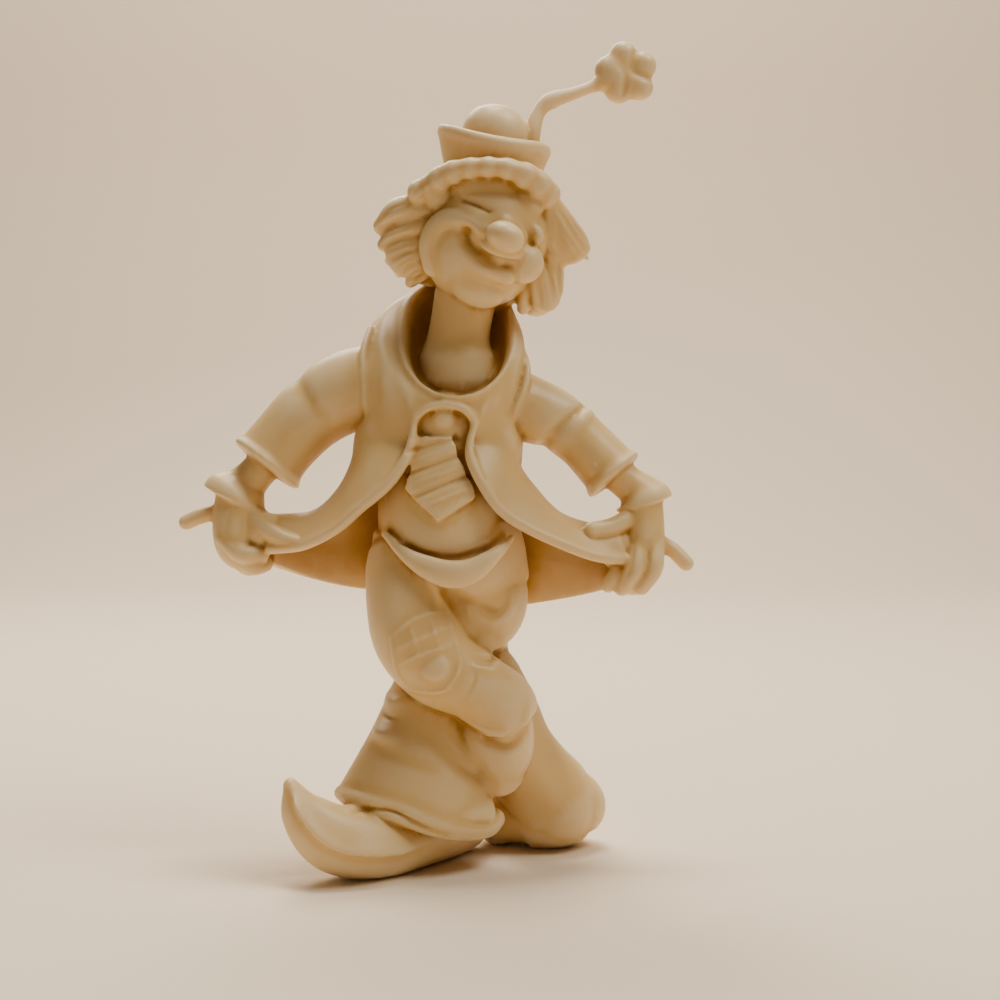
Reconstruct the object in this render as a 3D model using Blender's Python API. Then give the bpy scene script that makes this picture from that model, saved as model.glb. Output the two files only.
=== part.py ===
# Clown figurine, moulded in one piece in ivory-coloured plastic.
# Metres, +Z up. The clown faces -Y. The origin is on the ground, under the middle of the figure's box.

import math

import bpy
import numpy as np
from mathutils import Euler, Matrix
from mathutils.bvhtree import BVHTree

# Real sizes, in metres
FIGURE_HEIGHT = 0.075  # soles to the top of the flower
COAT_WALL = 0.0011  # wall of the coat tails that the hands hold out
HEM_BEAD = 0.00055  # radius of the rolled edge along the coat and the neckline
STEM_RADIUS = 0.00048  # the flower's stem, at its middle
FINGER_RADIUS = 0.00072  # the little finger that sticks out of each fist
TIE_RELIEF = 0.0006  # how far the tie stands off the shirt
SOLE_CUT = 0.00035  # what is cut off flat under the shoes
CAST_GRAIN = 0.00030  # side of the blocks that the casting is fused from

# The pose is drawn in hundredths of the height, from the ground up
SHARE = FIGURE_HEIGHT / 100
MOST_TRIANGLES = 9400
FUSE_SMOOTHING = 3
FRONT = np.array([0.0, -1.0, 0.0])


def share(metres):
    """A real size in hundredths of the figure's height."""
    return metres / SHARE


def unit(vectors):
    return vectors / np.maximum(np.linalg.norm(vectors, axis=-1, keepdims=True), 1e-9)


def smooth_path(rows, steps):
    """A Catmull-Rom curve through the rows, with the given steps between each two."""
    rows = np.asarray(rows, float)
    ends = np.vstack([2 * rows[0] - rows[1], rows, 2 * rows[-1] - rows[-2]])
    t = np.linspace(0, 1, steps, endpoint=False)[:, None]
    spans = []
    for a, b, c, d in zip(ends, ends[1:], ends[2:], ends[3:]):
        spans.append(0.5 * (2 * b + (c - a) * t + (2 * a - 5 * b + 4 * c - d) * t**2
                            + (3 * b - a - 3 * c + d) * t**3))
    return np.vstack([*spans, rows[-1:]])


def ring_faces(rings, around):
    """Quads between closed rings, and a fan at each end to the two last points."""
    at = np.arange(rings * around).reshape(rings, around)
    near, far = at[:-1], at[1:]
    quads = np.stack([near, np.roll(near, -1, 1), np.roll(far, -1, 1), far], -1).reshape(-1, 4)
    first, last = at[0], at[-1]
    start = np.stack([np.roll(first, -1), first, np.full(around, rings * around)], -1)
    end = np.stack([last, np.roll(last, -1), np.full(around, rings * around + 1)], -1)
    return quads.tolist() + start.tolist() + end.tolist()


def limb(rows, steps=6, around=28, start_round=1.0, end_round=1.0, relief=None):
    """A closed tube. Each row is a centre, a half width across and a half depth to the front.

    relief(along, turned) adds to the section's size, in shares, with turned 0 at the front.
    """
    track = smooth_path(rows, steps)
    centre, half = track[:, :3], np.maximum(track[:, 3:5], 0.15)
    along = unit(np.gradient(centre, axis=0))
    to_front = unit(FRONT - (along @ FRONT)[:, None] * along)
    across = np.cross(along, to_front)
    angle = np.linspace(0, 2 * math.pi, around, endpoint=False)
    swell = 0.0
    if relief is not None:
        swell = relief(np.linspace(0, 1, len(track))[:, None], angle[None, :])
    ring_a = (half[:, :1] + swell) * np.sin(angle)
    ring_b = (half[:, 1:] + swell) * np.cos(angle)
    points = centre[:, None] + ring_a[..., None] * across[:, None] + ring_b[..., None] * to_front[:, None]
    turn = np.radians([22, 44, 64, 80])
    rings = [points]
    for end, sign, roundness in ((0, -1, start_round), (-1, 1, end_round)):
        if not roundness:
            continue
        reach = roundness * half[end].min()
        cap = [centre[end] + sign * along[end] * reach * math.sin(a)
               + (points[end] - centre[end]) * math.cos(a) for a in turn]
        rings = [np.array(cap[::-1]), *rings] if end == 0 else [*rings, np.array(cap)]
    shell = np.vstack(rings)
    poles = [centre[0] - along[0] * start_round * half[0].min(),
             centre[-1] + along[-1] * end_round * half[-1].min()]
    return np.vstack([shell.reshape(-1, 3), poles]), ring_faces(len(shell), around)


def ball(centre, radii, turn=(0, 0, 0), relief=None, rings=18, around=28):
    """An egg shape with its own turn in degrees. relief(x, z, ahead) works in its own axes."""
    height = np.linspace(-math.pi / 2, math.pi / 2, rings + 2)[1:-1]
    angle = np.linspace(0, 2 * math.pi, around, endpoint=False)
    lat, lon = np.meshgrid(height, angle, indexing="ij")
    way = np.stack([np.cos(lat) * np.sin(lon), -np.cos(lat) * np.cos(lon), np.sin(lat)], -1)
    way = np.vstack([way.reshape(-1, 3), [[0, 0, -1], [0, 0, 1]]])
    points = way * np.asarray(radii, float)
    if relief is not None:
        points = points + unit(points) * relief(points[:, 0], points[:, 2], -way[:, 1])[:, None]
    spin = np.array(Euler([math.radians(a) for a in turn], "XYZ").to_matrix())
    return points @ spin.T + np.asarray(centre, float), ring_faces(rings, around)


def loft(curves, steps=8, across=5):
    """A grid of points through the curves, smooth both along each and from one to the next."""
    fine = np.array([smooth_path(curve, steps) for curve in curves])
    return smooth_path(fine.reshape(len(curves), -1), across).reshape(-1, fine.shape[1], 3)


def sheet(grid, wall):
    """A closed sheet of one wall thickness about a grid of points."""
    normal = unit(np.cross(np.gradient(grid, axis=0), np.gradient(grid, axis=1)))
    both = np.vstack([(grid + normal * wall / 2).reshape(-1, 3), (grid - normal * wall / 2).reshape(-1, 3)])
    rows, columns = grid.shape[:2]
    at = np.arange(rows * columns).reshape(rows, columns)
    top = np.stack([at[:-1, :-1], at[1:, :-1], at[1:, 1:], at[:-1, 1:]], -1).reshape(-1, 4)
    under = rows * columns
    edge = np.concatenate([at[0, :-1], at[:-1, -1], at[-1, :0:-1], at[:0:-1, 0]])
    ahead = np.roll(edge, -1)
    rim = np.stack([edge, ahead, ahead + under, edge + under], -1)
    return both, top.tolist() + (top[:, ::-1] + under).tolist() + rim.tolist()


# The head leans to one side and looks past the viewer
HEAD_AT = (4.6, -0.4, 74.4)
HEAD_TURN = (-4, 25, 13)


def head_forms():
    """Skull, laughing cheeks, lips, chin, nose, brows and neck."""
    return [
        ball(HEAD_AT, (7.5, 7.6, 8.8), HEAD_TURN, rings=30, around=44),
        limb([(-1.7, -3.2, 70.6, 1.4, 1.4), (-1.9, -3.8, 73.0, 1.6, 1.5), (-1.0, -4.7, 74.9, 1.6, 1.5),
              (0.7, -5.7, 75.6, 1.6, 1.5), (2.6, -6.6, 75.0, 1.5, 1.4), (4.4, -7.4, 74.1, 1.2, 1.2)]),
        ball((8.8, -5.3, 70.7), (2.3, 2.1, 2.4), (0, 10, 0)),
        limb([(3.2, -6.6, 73.2, 1.1, 1.0), (4.5, -7.1, 72.5, 1.4, 1.3), (6.0, -7.3, 72.0, 1.5, 1.4),
              (7.5, -7.0, 71.7, 1.4, 1.3)]),
        limb([(1.3, -5.9, 72.2, 0.8, 0.8), (2.8, -6.3, 70.8, 0.95, 0.95), (4.5, -6.4, 69.8, 1.1, 1.1),
              (6.9, -6.2, 69.2, 1.1, 1.0)]),
        ball((3.2, -3.2, 68.3), (3.6, 2.9, 2.5), (0, 25, 0)),
        ball((6.6, -8.9, 73.3), (2.3, 2.0, 1.75), HEAD_TURN),
        limb([(5.6, -5.9, 78.2, 1.0, 0.9), (6.1, -6.6, 76.0, 0.9, 0.9), (6.4, -7.6, 74.6, 1.1, 1.0)]),
        ball((3.2, -4.6, 79.0), (2.8, 1.8, 1.8), (0, 15, 0)),
        ball((8.8, -4.8, 77.8), (2.4, 1.6, 1.6), (0, 30, 0)),
        ball((10.2, -5.4, 73.9), (0.9, 0.9, 1.2)),
        limb([(0.9, 0.9, 57.6, 5.2, 4.8), (0.9, 0.7, 60.0, 4.6, 4.4), (1.1, 0.6, 62.6, 3.7, 3.6),
              (1.9, 0.4, 67.5, 3.7, 3.6)]),
    ]


def hair_forms():
    """The mass behind the head, the fringe under the hat, and the locks at each side."""
    def strands(x, z, ahead):
        return 0.22 * np.cos(x * 3.2) * (ahead < 0.35)

    def combed(along, turned):
        return 0.08 * np.cos(along * 2 * math.pi * 8 + np.cos(along * 9)) * (np.cos(turned) > -0.4)

    forms = [
        ball((5.0, 3.4, 74.6), (7.6, 6.2, 8.8), (0, 14, 0), strands, 40, 72),
        ball((10.4, 2.8, 70.2), (3.4, 3.8, 5.2)),
        ball((-2.2, 2.4, 73.6), (4.2, 4.2, 5.0)),
        ball((-0.9, -2.4, 79.0), (2.8, 3.2, 2.6)),
        ball((-4.3, -0.9, 73.4), (3.3, 2.2, 4.2), (0, 18, 0)),
        ball((10.9, -0.7, 69.4), (2.6, 2.0, 4.2), (0, -12, 0)),
        ball((4.8, -1.2, 79.0), (6.8, 5.6, 4.6), (0, 8, 0)),
        limb([(-2.0, -4.6, 79.7, 1.5, 1.4), (0.0, -5.9, 80.9, 1.4, 1.3), (2.7, -6.8, 81.5, 1.2, 1.2),
              (6.6, -7.2, 81.4, 1.2, 1.2), (9.6, -6.2, 80.3, 1.6, 1.4), (11.5, -4.6, 78.7, 1.7, 1.5)],
             9, relief=combed),
        ball((-3.2, -4.0, 79.2), (1.7, 1.6, 1.5), (0, -15, 0)),
    ]
    left_locks = [
        [(-2.2, -2.6, 77.4, 1.4, 1.6), (-5.6, -2.0, 77.0, 1.9, 1.9), (-7.9, -0.6, 75.6, 1.2, 1.3)],
        [(-2.0, -2.4, 75.6, 1.2, 1.6), (-5.6, -1.6, 74.7, 1.4, 1.7), (-7.7, -0.4, 73.4, 0.9, 1.2)],
        [(-1.8, -2.0, 74.0, 1.1, 1.5), (-4.9, -1.1, 72.9, 1.2, 1.6), (-6.9, 0.2, 71.6, 0.8, 1.1)],
        [(-1.7, -1.4, 72.6, 1.0, 1.4), (-4.2, -0.7, 71.4, 1.1, 1.4), (-5.9, 0.4, 70.2, 0.7, 1.0)],
        [(-1.4, -0.6, 71.2, 1.0, 1.4), (-3.4, 0.0, 70.0, 1.0, 1.3), (-4.7, 0.8, 69.0, 0.7, 0.9)],
    ]
    right_locks = [
        [(10.8, -3.6, 79.0, 1.4, 1.5), (12.4, -2.6, 76.4, 1.9, 1.7), (14.2, -1.5, 73.6, 2.2, 1.5),
         (15.2, -1.0, 72.3, 1.9, 1.0)],
        [(11.4, -2.8, 76.2, 1.2, 1.4), (12.0, -1.8, 73.4, 1.3, 1.5), (13.2, -0.8, 71.6, 1.1, 1.2)],
        [(11.9, -1.4, 72.2, 1.1, 1.4), (12.2, -0.6, 69.4, 1.1, 1.4), (12.2, 0.2, 67.3, 0.9, 1.1)],
        [(10.6, -1.6, 71.0, 1.0, 1.4), (10.8, -0.6, 68.4, 1.1, 1.4), (10.6, 0.2, 66.6, 0.8, 1.1)],
        [(9.4, -1.2, 69.8, 1.0, 1.4), (9.2, -0.2, 67.4, 1.1, 1.4), (8.8, 0.6, 65.9, 0.8, 1.1)],
    ]
    return forms + [limb(rows, 8) for rows in left_locks + right_locks]


def hat_forms():
    """A small round hat with its brim rolled up, highest at one side."""
    profile = smooth_path([(5.5, -1.2), (6.1, 0.2), (6.5, 1.6), (6.9, 2.7), (6.6, 3.5), (5.9, 3.4), (5.2, 2.5),
                           (4.5, 2.0), (4.1, 2.9), (4.0, 4.4), (3.6, 5.9), (2.6, 7.2), (1.2, 7.8)], 4)
    angle = np.linspace(0, 2 * math.pi, 48, endpoint=False)
    around, out = np.meshgrid(angle, profile[:, 0])
    up = np.repeat(profile[:, 1:], len(angle), 1)
    brim = np.clip((out - 4.2) / 2.4, 0, 1)
    up = up + brim * (0.7 * np.cos(around - math.radians(185)) + 0.65 * np.cos(2 * around))
    grid = np.stack([out * np.cos(around), 0.95 * out * np.sin(around), up], -1)
    points = np.vstack([grid.reshape(-1, 3), [[0, 0, -1.2], [0, 0, 7.9]]])
    lean = np.array(Euler((math.radians(-2), math.radians(5), 0)).to_matrix())
    return [(points @ lean.T + np.array([5.0, 0.2, 82.3]), ring_faces(*grid.shape[:2]))]


def flower_forms():
    stem = share(STEM_RADIUS)
    centre = np.array([21.5, 5.4, 95.0])
    forms = [
        limb([(9.4, 1.0, 84.0, 1.2, 1.2), (9.9, 1.2, 87.2, 1.05, 1.05), (10.7, 1.8, 89.6, 0.85, 0.85),
              (12.2, 2.4, 91.1, 1.3 * stem, 1.2 * stem), (14.8, 3.4, 92.1, stem, stem),
              (17.3, 4.4, 93.2, stem, stem), (18.8, 4.9, 94.0, 1.5, 1.5), (20.2, 5.2, 94.7, 2.3, 2.1)], 7),
        ball(centre + [0.3, 0.4, 0.2], (2.0, 1.7, 2.0)),
    ]
    for step in range(5):
        angle = math.radians(100 + 72 * step)
        reach = 2.1 * np.array([math.cos(angle), 0.15 * math.cos(angle), math.sin(angle)])
        forms.append(ball(centre + reach, (1.9, 1.6, 1.9)))
    return forms


# The shirted body and the coat over it, from the hips up: centre, half width, half depth
BODY = [(-0.4, 0.4, 35, 7.4, 7.2), (-0.7, -0.2, 40, 7.8, 8.2), (-1.1, 0.0, 46, 7.4, 6.8),
        (-0.9, 0.6, 51.5, 7.6, 6.2), (-0.4, 2.0, 55, 7.2, 3.8)]
# The coat from the waist up, over the shoulders and the rolled edge of the neckline, and down inside it.
# Each ring is a centre, a half width, a half length, its lean back in degrees, and how far its sides rise.
COAT = [(-1.4, 1.2, 44.5, 8.6, 5.8, 0, 0), (-1.3, 0.8, 47.8, 8.8, 6.7, 3, 0.2),
        (-1.2, 0.5, 51.2, 9.2, 7.0, 11, 1.0), (-0.9, 0.3, 55.4, 9.8, 7.6, 23.5, 2.4), (-0.7, 0.3, 58.8, 9.6, 8.6, 36.7, 2.8),
        (-0.2, 0.1, 61.1, 8.3, 9.6, 45.4, 2.2), (0.7, -0.1, 62.2, 7.3, 10.0, 49.5, 0.8),
        (0.9, -0.5, 62.8, 6.7, 9.8, 50, 0.3), (0.9, -0.3, 62.0, 5.9, 9.0, 50, 0.1),
        (1.0, 0.2, 60.6, 5.2, 8.0, 49, 0), (1.0, 0.6, 59.8, 3.6, 5.8, 48, 0)]
# Front edges of the coat, from the collar down and out to each hand
LEFT_RIM = [(-0.5, -6.7, 54.3), (-2.4, -6.6, 53.8), (-3.8, -6.3, 52.5), (-4.1, -6.7, 50.6), (-4.8, -7.4, 48.1),
            (-6.9, -7.6, 45.1), (-10.1, -7.1, 42.4), (-12.9, -6.2, 40.0), (-16.8, -5.0, 38.0), (-20.8, -3.4, 37.4)]
RIGHT_RIM = [(-0.4, -6.7, 54.3), (1.8, -6.6, 53.7), (3.0, -6.3, 52.1), (2.6, -6.7, 50.2), (2.6, -7.3, 48.2),
             (3.8, -7.7, 45.5), (6.1, -7.7, 42.2), (9.5, -7.1, 39.9), (15.0, -5.6, 37.4), (18.2, -4.4, 36.4),
             (20.6, -3.2, 36.2)]


def front_of(rows, x, z):
    """How far forward a rounded form stands at x, z."""
    rows = np.array(rows)
    cx, cy, wide, deep = (np.interp(z, rows[:, 2], rows[:, k]) for k in (0, 1, 3, 4))
    return cy - deep * np.sqrt(np.clip(1 - ((x - cx) / wide) ** 2, 0.05, 1))


def parted(form):
    """Sinks the points of a form that lie between the coat's front edges into the body."""
    points, faces = form
    left, right = np.array(LEFT_RIM)[::-1], np.array(RIGHT_RIM)[::-1]
    x, z = points[:, 0], points[:, 2]
    within = (x > np.interp(z, left[:, 2], left[:, 0])) & (x < np.interp(z, right[:, 2], right[:, 0]))
    within &= (z < left[-1, 2]) & (z > 38) & (points[:, 1] < 0)
    points[within, 1] = np.maximum(points[within, 1], front_of(BODY, x, z)[within] + 1.2)
    return points, faces


def coat_form():
    angle = np.linspace(0, 2 * math.pi, 128, endpoint=False)
    to_side, to_back = np.cos(angle), np.sign(np.sin(angle)) * np.abs(np.sin(angle)) ** 0.86
    rings = []
    for x, y, z, wide, long, lean, rise in COAT:
        lean = math.radians(lean)
        rings.append(np.stack([x + wide * to_side, y + long * to_back * math.cos(lean),
                               z + long * to_back * math.sin(lean) + rise * to_side**2], -1))
    skin = smooth_path(np.array(rings).reshape(len(rings), -1), 7).reshape(-1, len(angle), 3)
    ends = [skin[0].mean(0), skin[-1].mean(0)]
    return np.vstack([skin.reshape(-1, 3), ends]), ring_faces(*skin.shape[:2])


def body_forms():
    bead = share(HEM_BEAD)
    armholes = [
        [(-9.5, 0.6, 63.4), (-10.1, -1.6, 61.0), (-10.1, -2.8, 58.4), (-9.8, -3.2, 55.1), (-9.2, -2.8, 52.0)],
        [(8.4, 0.6, 61.4), (9.2, -1.4, 58.9), (9.0, -2.6, 56.7), (8.0, -3.2, 54.1), (6.9, -3.0, 51.6)],
    ]
    forms = [
        limb(BODY, end_round=0.5),
        parted(coat_form()),
        ball((-7.3, -2.2, 51.3), (3.0, 2.6, 5.0), (0, 12, 0)),
        ball((5.3, -2.4, 50.5), (2.7, 2.6, 5.0), (0, -12, 0)),
    ]
    forms.extend(limb([(*p, 0.6 * bead, 0.7 * bead) for p in edge]) for edge in armholes)
    for rim in (LEFT_RIM, RIGHT_RIM):
        swell = np.interp(np.arange(len(rim)), [0, 3, 5], [0.6, 0.75, 1.0])
        forms.append(limb([(*p, 0.95 * bead * k, 1.2 * bead * k) for p, k in zip(rim, swell)]))
    return forms


def tie_forms():
    """A knot, and a blade that widens to a blunt point, lying on the shirt."""
    proud = share(TIE_RELIEF)
    edges = [(50.4, -3.2, 0.5), (48.0, -3.8, 1.1), (46.0, -4.3, 2.0), (44.4, -4.7, 2.7), (43.4, -3.9, 2.9),
             (42.2, -2.5, 1.2), (40.9, -1.2, -0.7)]
    across = np.linspace(0, 1, 9)
    x = np.array([left + (right - left) * across for _, left, right in edges])
    z = np.array([np.full(9, height) for height, _, _ in edges])
    y = front_of(BODY, x, z) - 0.4 * proud
    return [
        sheet(np.stack([x, y, z], -1), 2.2 * proud),
        ball((-0.5, -5.9, 52.6), (1.4, 1.1, 1.4)),
        ball((-0.6, -3.1, 51.8), (4.2, 3.4, 4.0)),
    ]


def coat_tail_forms():
    """Each tail hangs from its front edge over the top and down behind, to the hem."""
    wall = share(COAT_WALL)
    left_ridge = [(-9.4, -1.2, 57.5), (-10.4, -0.6, 51.0), (-11.0, -0.4, 47.2), (-12.9, 0.0, 43.6),
                  (-16.0, 0.0, 41.0), (-20.8, -0.8, 40.6)]
    left_rim = [LEFT_RIM[3], *LEFT_RIM[5:]]
    left_hem = [(0.0, 8.6, 30.6), (-4.5, 8.0, 31.0), (-8.6, 6.2, 31.6), (-12.5, 4.4, 32.2), (-17.0, 2.6, 33.4),
                (-21.4, 0.2, 35.2)]
    right_ridge = [(8.4, -1.2, 56.5), (8.0, -0.8, 50.0), (7.8, -0.6, 47.0), (9.6, -0.2, 44.2),
                   (13.2, 0.0, 40.6), (19.6, -0.8, 38.8)]
    right_rim = [RIGHT_RIM[3], *RIGHT_RIM[5:9], RIGHT_RIM[10]]
    right_hem = [(0.0, 8.6, 30.6), (4.5, 8.0, 30.2), (8.4, 6.4, 29.9), (12.6, 4.6, 30.6), (17.0, 2.8, 31.6),
                 (20.8, 0.4, 32.8)]
    forms = []
    for rim, ridge, hem in ((left_rim, left_ridge, left_hem), (right_rim, right_ridge, right_hem)):
        rim, ridge, hem = (np.array(curve) for curve in (rim, ridge, hem))
        inward = -0.1 * np.sign(rim[-1, 0])
        rim[0] += [6 * inward, 2.2, 0]
        ridge[0] += [14 * inward, 1.2, 0]
        proud = np.clip(np.arange(6) / 2, 0, 1)[:, None]
        lip = 0.45 * rim + 0.55 * ridge + proud * [0, -0.8, 0.6]
        back = 0.55 * ridge + 0.45 * hem + [0, 1.6, 0.6]
        grid = loft([rim, lip, ridge, back, hem], 6, 5)
        forms.append(sheet(grid, wall))
    back = [(-0.6, 2.4, 54, 8.6, 4.6), (-0.6, 2.8, 46, 8.2, 5.2), (-0.2, 3.8, 38, 7.8, 5.2),
            (0.0, 4.4, 31.4, 8.0, 5.0)]
    return [*forms, limb(back, around=48, start_round=0.5, end_round=0.15)]


def arm_forms():
    """Wide sleeves with a turned edge, flared gloves, fists, thumbs and the little fingers."""
    def creases(along, around):
        return -0.35 * np.exp(-(((along - 0.45) / 0.05) ** 2)) * np.clip(np.sin(around + 0.6), 0, 1)

    finger = share(FINGER_RADIUS)
    bead = share(HEM_BEAD)
    forms = []
    left = [(-8.0, 0.9, 56.8, 5.0, 4.2), (-12.4, 1.0, 55.8, 4.9, 4.4), (-16.4, 1.2, 53.4, 4.5, 4.4),
            (-19.8, 0.8, 49.9, 4.2, 4.2), (-21.8, 0.3, 47.3, 4.3, 4.2)]
    right = [(6.0, 0.9, 55.0, 4.4, 4.2), (9.4, 0.9, 53.8, 4.0, 4.1), (12.4, 1.0, 52.6, 3.7, 4.0),
             (15.6, 1.0, 50.2, 3.3, 3.8), (18.1, 0.6, 47.6, 3.4, 3.7), (19.5, 0.3, 46.0, 3.5, 3.7)]
    left_hand = {
        "wrist": [(-21.6, 0.2, 47.8, 2.2, 2.2), (-23.2, 0.0, 46.0, 2.2, 2.2), (-24.3, 0.0, 44.8, 2.6, 2.5),
                  (-25.2, -0.1, 43.7, 3.9, 3.5), (-25.5, -0.1, 43.1, 4.2, 3.7)],
        "fist": [(-25.0, -0.1, 43.4, 2.9, 2.9), (-25.1, -0.5, 40.4, 3.1, 3.2), (-24.8, -0.7, 37.8, 3.0, 3.1),
                 (-23.6, -0.6, 36.2, 2.3, 2.5)],
        "palm": ball((-21.8, -1.8, 39.4), (2.6, 2.2, 2.2)),
        "fingers": [[(-26.4, -2.4, 38.4, 1.1, 1.1), (-24.2, -3.4, 36.8, 1.2, 1.2), (-22.2, -2.8, 36.7, 1.1, 1.1)],
                    [(-25.2, -1.4, 36.8, 1.1, 1.1), (-23.2, -2.4, 35.4, 1.2, 1.2), (-21.9, -1.4, 35.4, 1.0, 1.1)]],
        "thumb": [(-23.8, -1.8, 41.2, 1.3, 1.3), (-21.6, -3.0, 39.7, 1.25, 1.3), (-19.4, -4.0, 38.7, 1.0, 1.1),
                  (-17.6, -4.7, 38.3, 0.7, 0.8)],
        "little": [(-27.2, 0.0, 41.6, finger, finger), (-29.8, 0.0, 41.0, finger, finger),
                   (-31.4, 0.0, 40.3, finger, finger)],
    }
    right_hand = {
        "wrist": [(19.2, 0.2, 46.8, 2.2, 2.2), (21.2, 0.0, 45.0, 2.1, 2.2), (22.3, 0.0, 44.2, 2.4, 2.4),
                  (23.0, -0.1, 43.2, 3.3, 3.0), (23.2, -0.1, 42.6, 3.5, 3.2)],
        "fist": [(22.9, -0.2, 42.8, 2.5, 2.7), (23.1, -0.5, 38.8, 2.5, 3.0), (22.8, -0.7, 35.6, 2.5, 2.9),
                 (21.8, -0.6, 33.6, 2.0, 2.3)],
        "palm": ball((20.0, -1.4, 37.2), (2.2, 2.0, 2.6)),
        "fingers": [[(24.2, -2.2, 38.0, 1.1, 1.1), (24.0, -3.2, 35.2, 1.2, 1.2), (22.6, -2.6, 32.9, 1.1, 1.1)],
                    [(22.4, -2.4, 37.8, 1.1, 1.1), (21.8, -3.4, 35.0, 1.2, 1.2), (20.4, -2.4, 32.8, 1.1, 1.1)],
                    [(20.6, -1.2, 36.0, 1.1, 1.1), (19.8, -2.2, 34.0, 1.2, 1.2), (18.9, -1.2, 33.0, 1.0, 1.1)]],
        "thumb": [(21.6, -1.6, 41.0, 1.2, 1.2), (19.2, -2.8, 39.9, 1.1, 1.1), (16.8, -3.8, 39.6, 1.0, 1.0)],
        "little": [(24.8, 0.0, 38.0, finger, finger), (26.6, 0.0, 37.0, finger, finger),
                   (28.2, 0.0, 35.4, finger, finger)],
    }
    for sleeve, hand in ((left, left_hand), (right, right_hand)):
        forms.append(limb(sleeve, end_round=0.0, relief=creases))
        last, before = np.array(sleeve[-1]), np.array(sleeve[-2])
        way = unit(last[:3] - before[:3])
        flare = last[3:] + 0.6 * bead
        forms.append(limb([(*(last[:3] - 0.8 * way), *(flare - 0.4)), (*last[:3], *flare),
                           (*(last[:3] + 0.3 * way), *(flare - 0.2))], 4, start_round=0.2, end_round=0.1))
        forms.append(limb(hand["wrist"], end_round=0.12))
        forms.append(limb(hand["fist"]))
        forms.append(hand["palm"])
        forms.append(limb(hand["thumb"], 4))
        forms.append(limb(hand["little"], 4))
        forms.extend(limb(rows, 4) for rows in hand["fingers"])
    return forms


def trouser_forms():
    """Baggy trousers that sag from the waist, one leg crossed in front of the other."""
    def back_folds(along, turned):
        return 0.4 * np.cos(along * 2 * math.pi * 3.4) * np.clip(-np.sin(turned), 0, 1) ** 2 * (1 - along)

    return [
        limb([(-0.6, 0.2, 40, 8.6, 7.6), (-0.2, 0.4, 36.4, 9.3, 8.0), (0.1, 1.0, 32, 9.4, 7.2),
              (1.2, 1.2, 28, 7.5, 6.6), (2.4, 1.2, 25.2, 5.2, 5.8)], start_round=0.2, end_round=0.5),
        ball((4.9, -0.1, 31.0), (4.4, 4.8, 6.0), (0, 8, 0)),
        limb([(-7.4, -5.6, 39.3, 0.4, 0.5), (-5.0, -7.8, 37.2, 0.8, 0.8), (-2.6, -9.0, 35.8, 1.3, 0.9),
              (0.4, -9.6, 34.9, 1.6, 1.0), (3.0, -9.2, 35.4, 1.4, 0.9), (5.6, -7.8, 37.2, 0.8, 0.8),
              (7.3, -5.8, 38.8, 0.4, 0.5)]),
        limb([(-4.7, -1.6, 35.0, 5.2, 5.8), (-4.5, -3.0, 31.0, 5.2, 6.2), (-3.4, -4.2, 27.2, 5.4, 6.0),
              (-0.9, -4.7, 23.9, 4.9, 5.6), (3.2, -4.6, 21.4, 4.1, 5.0), (5.8, -4.0, 19.2, 4.3, 4.9),
              (6.4, -3.6, 17.8, 4.2, 4.8)], end_round=0.12),
        limb([(4.0, -1.4, 20.0, 4.2, 4.0), (5.0, -1.8, 16.4, 4.8, 4.6), (5.6, -1.8, 13.4, 4.4, 4.6),
              (5.6, -1.6, 10.6, 3.2, 3.8)], end_round=0.8),
        limb([(4.6, 0.2, 21.6, 4.0, 4.4), (6.4, 1.8, 17.2, 4.3, 4.8), (7.9, 3.4, 13.0, 4.5, 5.2),
              (9.8, 5.2, 9.4, 5.0, 5.6), (11.8, 6.6, 6.4, 5.6, 5.8)], end_round=0.8),
        limb([(1.4, 1.8, 25.4, 5.4, 5.0), (-0.9, 0.8, 20.6, 5.6, 5.2), (-2.2, -0.6, 16.2, 6.3, 5.6),
              (-3.0, -1.8, 12.2, 7.6, 6.2), (-3.6, -2.6, 8.8, 8.9, 6.6), (-4.0, -2.8, 6.6, 9.4, 6.8)],
             8, 40, end_round=0.1, relief=back_folds),
        limb([(-3.6, -4.4, 8.6, 2.2, 4.4), (0.6, -4.0, 7.2, 2.4, 4.4), (3.6, -2.8, 6.8, 2.2, 3.8)], end_round=0.6),
        limb([(-12.6, -3.2, 8.7, 0.9, 0.9), (-11.2, -6.0, 8.7, 1.1, 1.1), (-8.8, -7.9, 8.4, 1.3, 1.2),
              (-5.5, -8.7, 7.7, 1.4, 1.3), (-1.8, -8.3, 6.4, 1.5, 1.4), (1.4, -6.9, 5.5, 1.5, 1.4),
              (4.2, -4.6, 5.2, 1.5, 1.4), (5.4, -2.8, 5.6, 1.3, 1.2)]),
        ball((-1.2, -9.3, 24.2), (2.0, 1.5, 1.9)),
    ]


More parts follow.
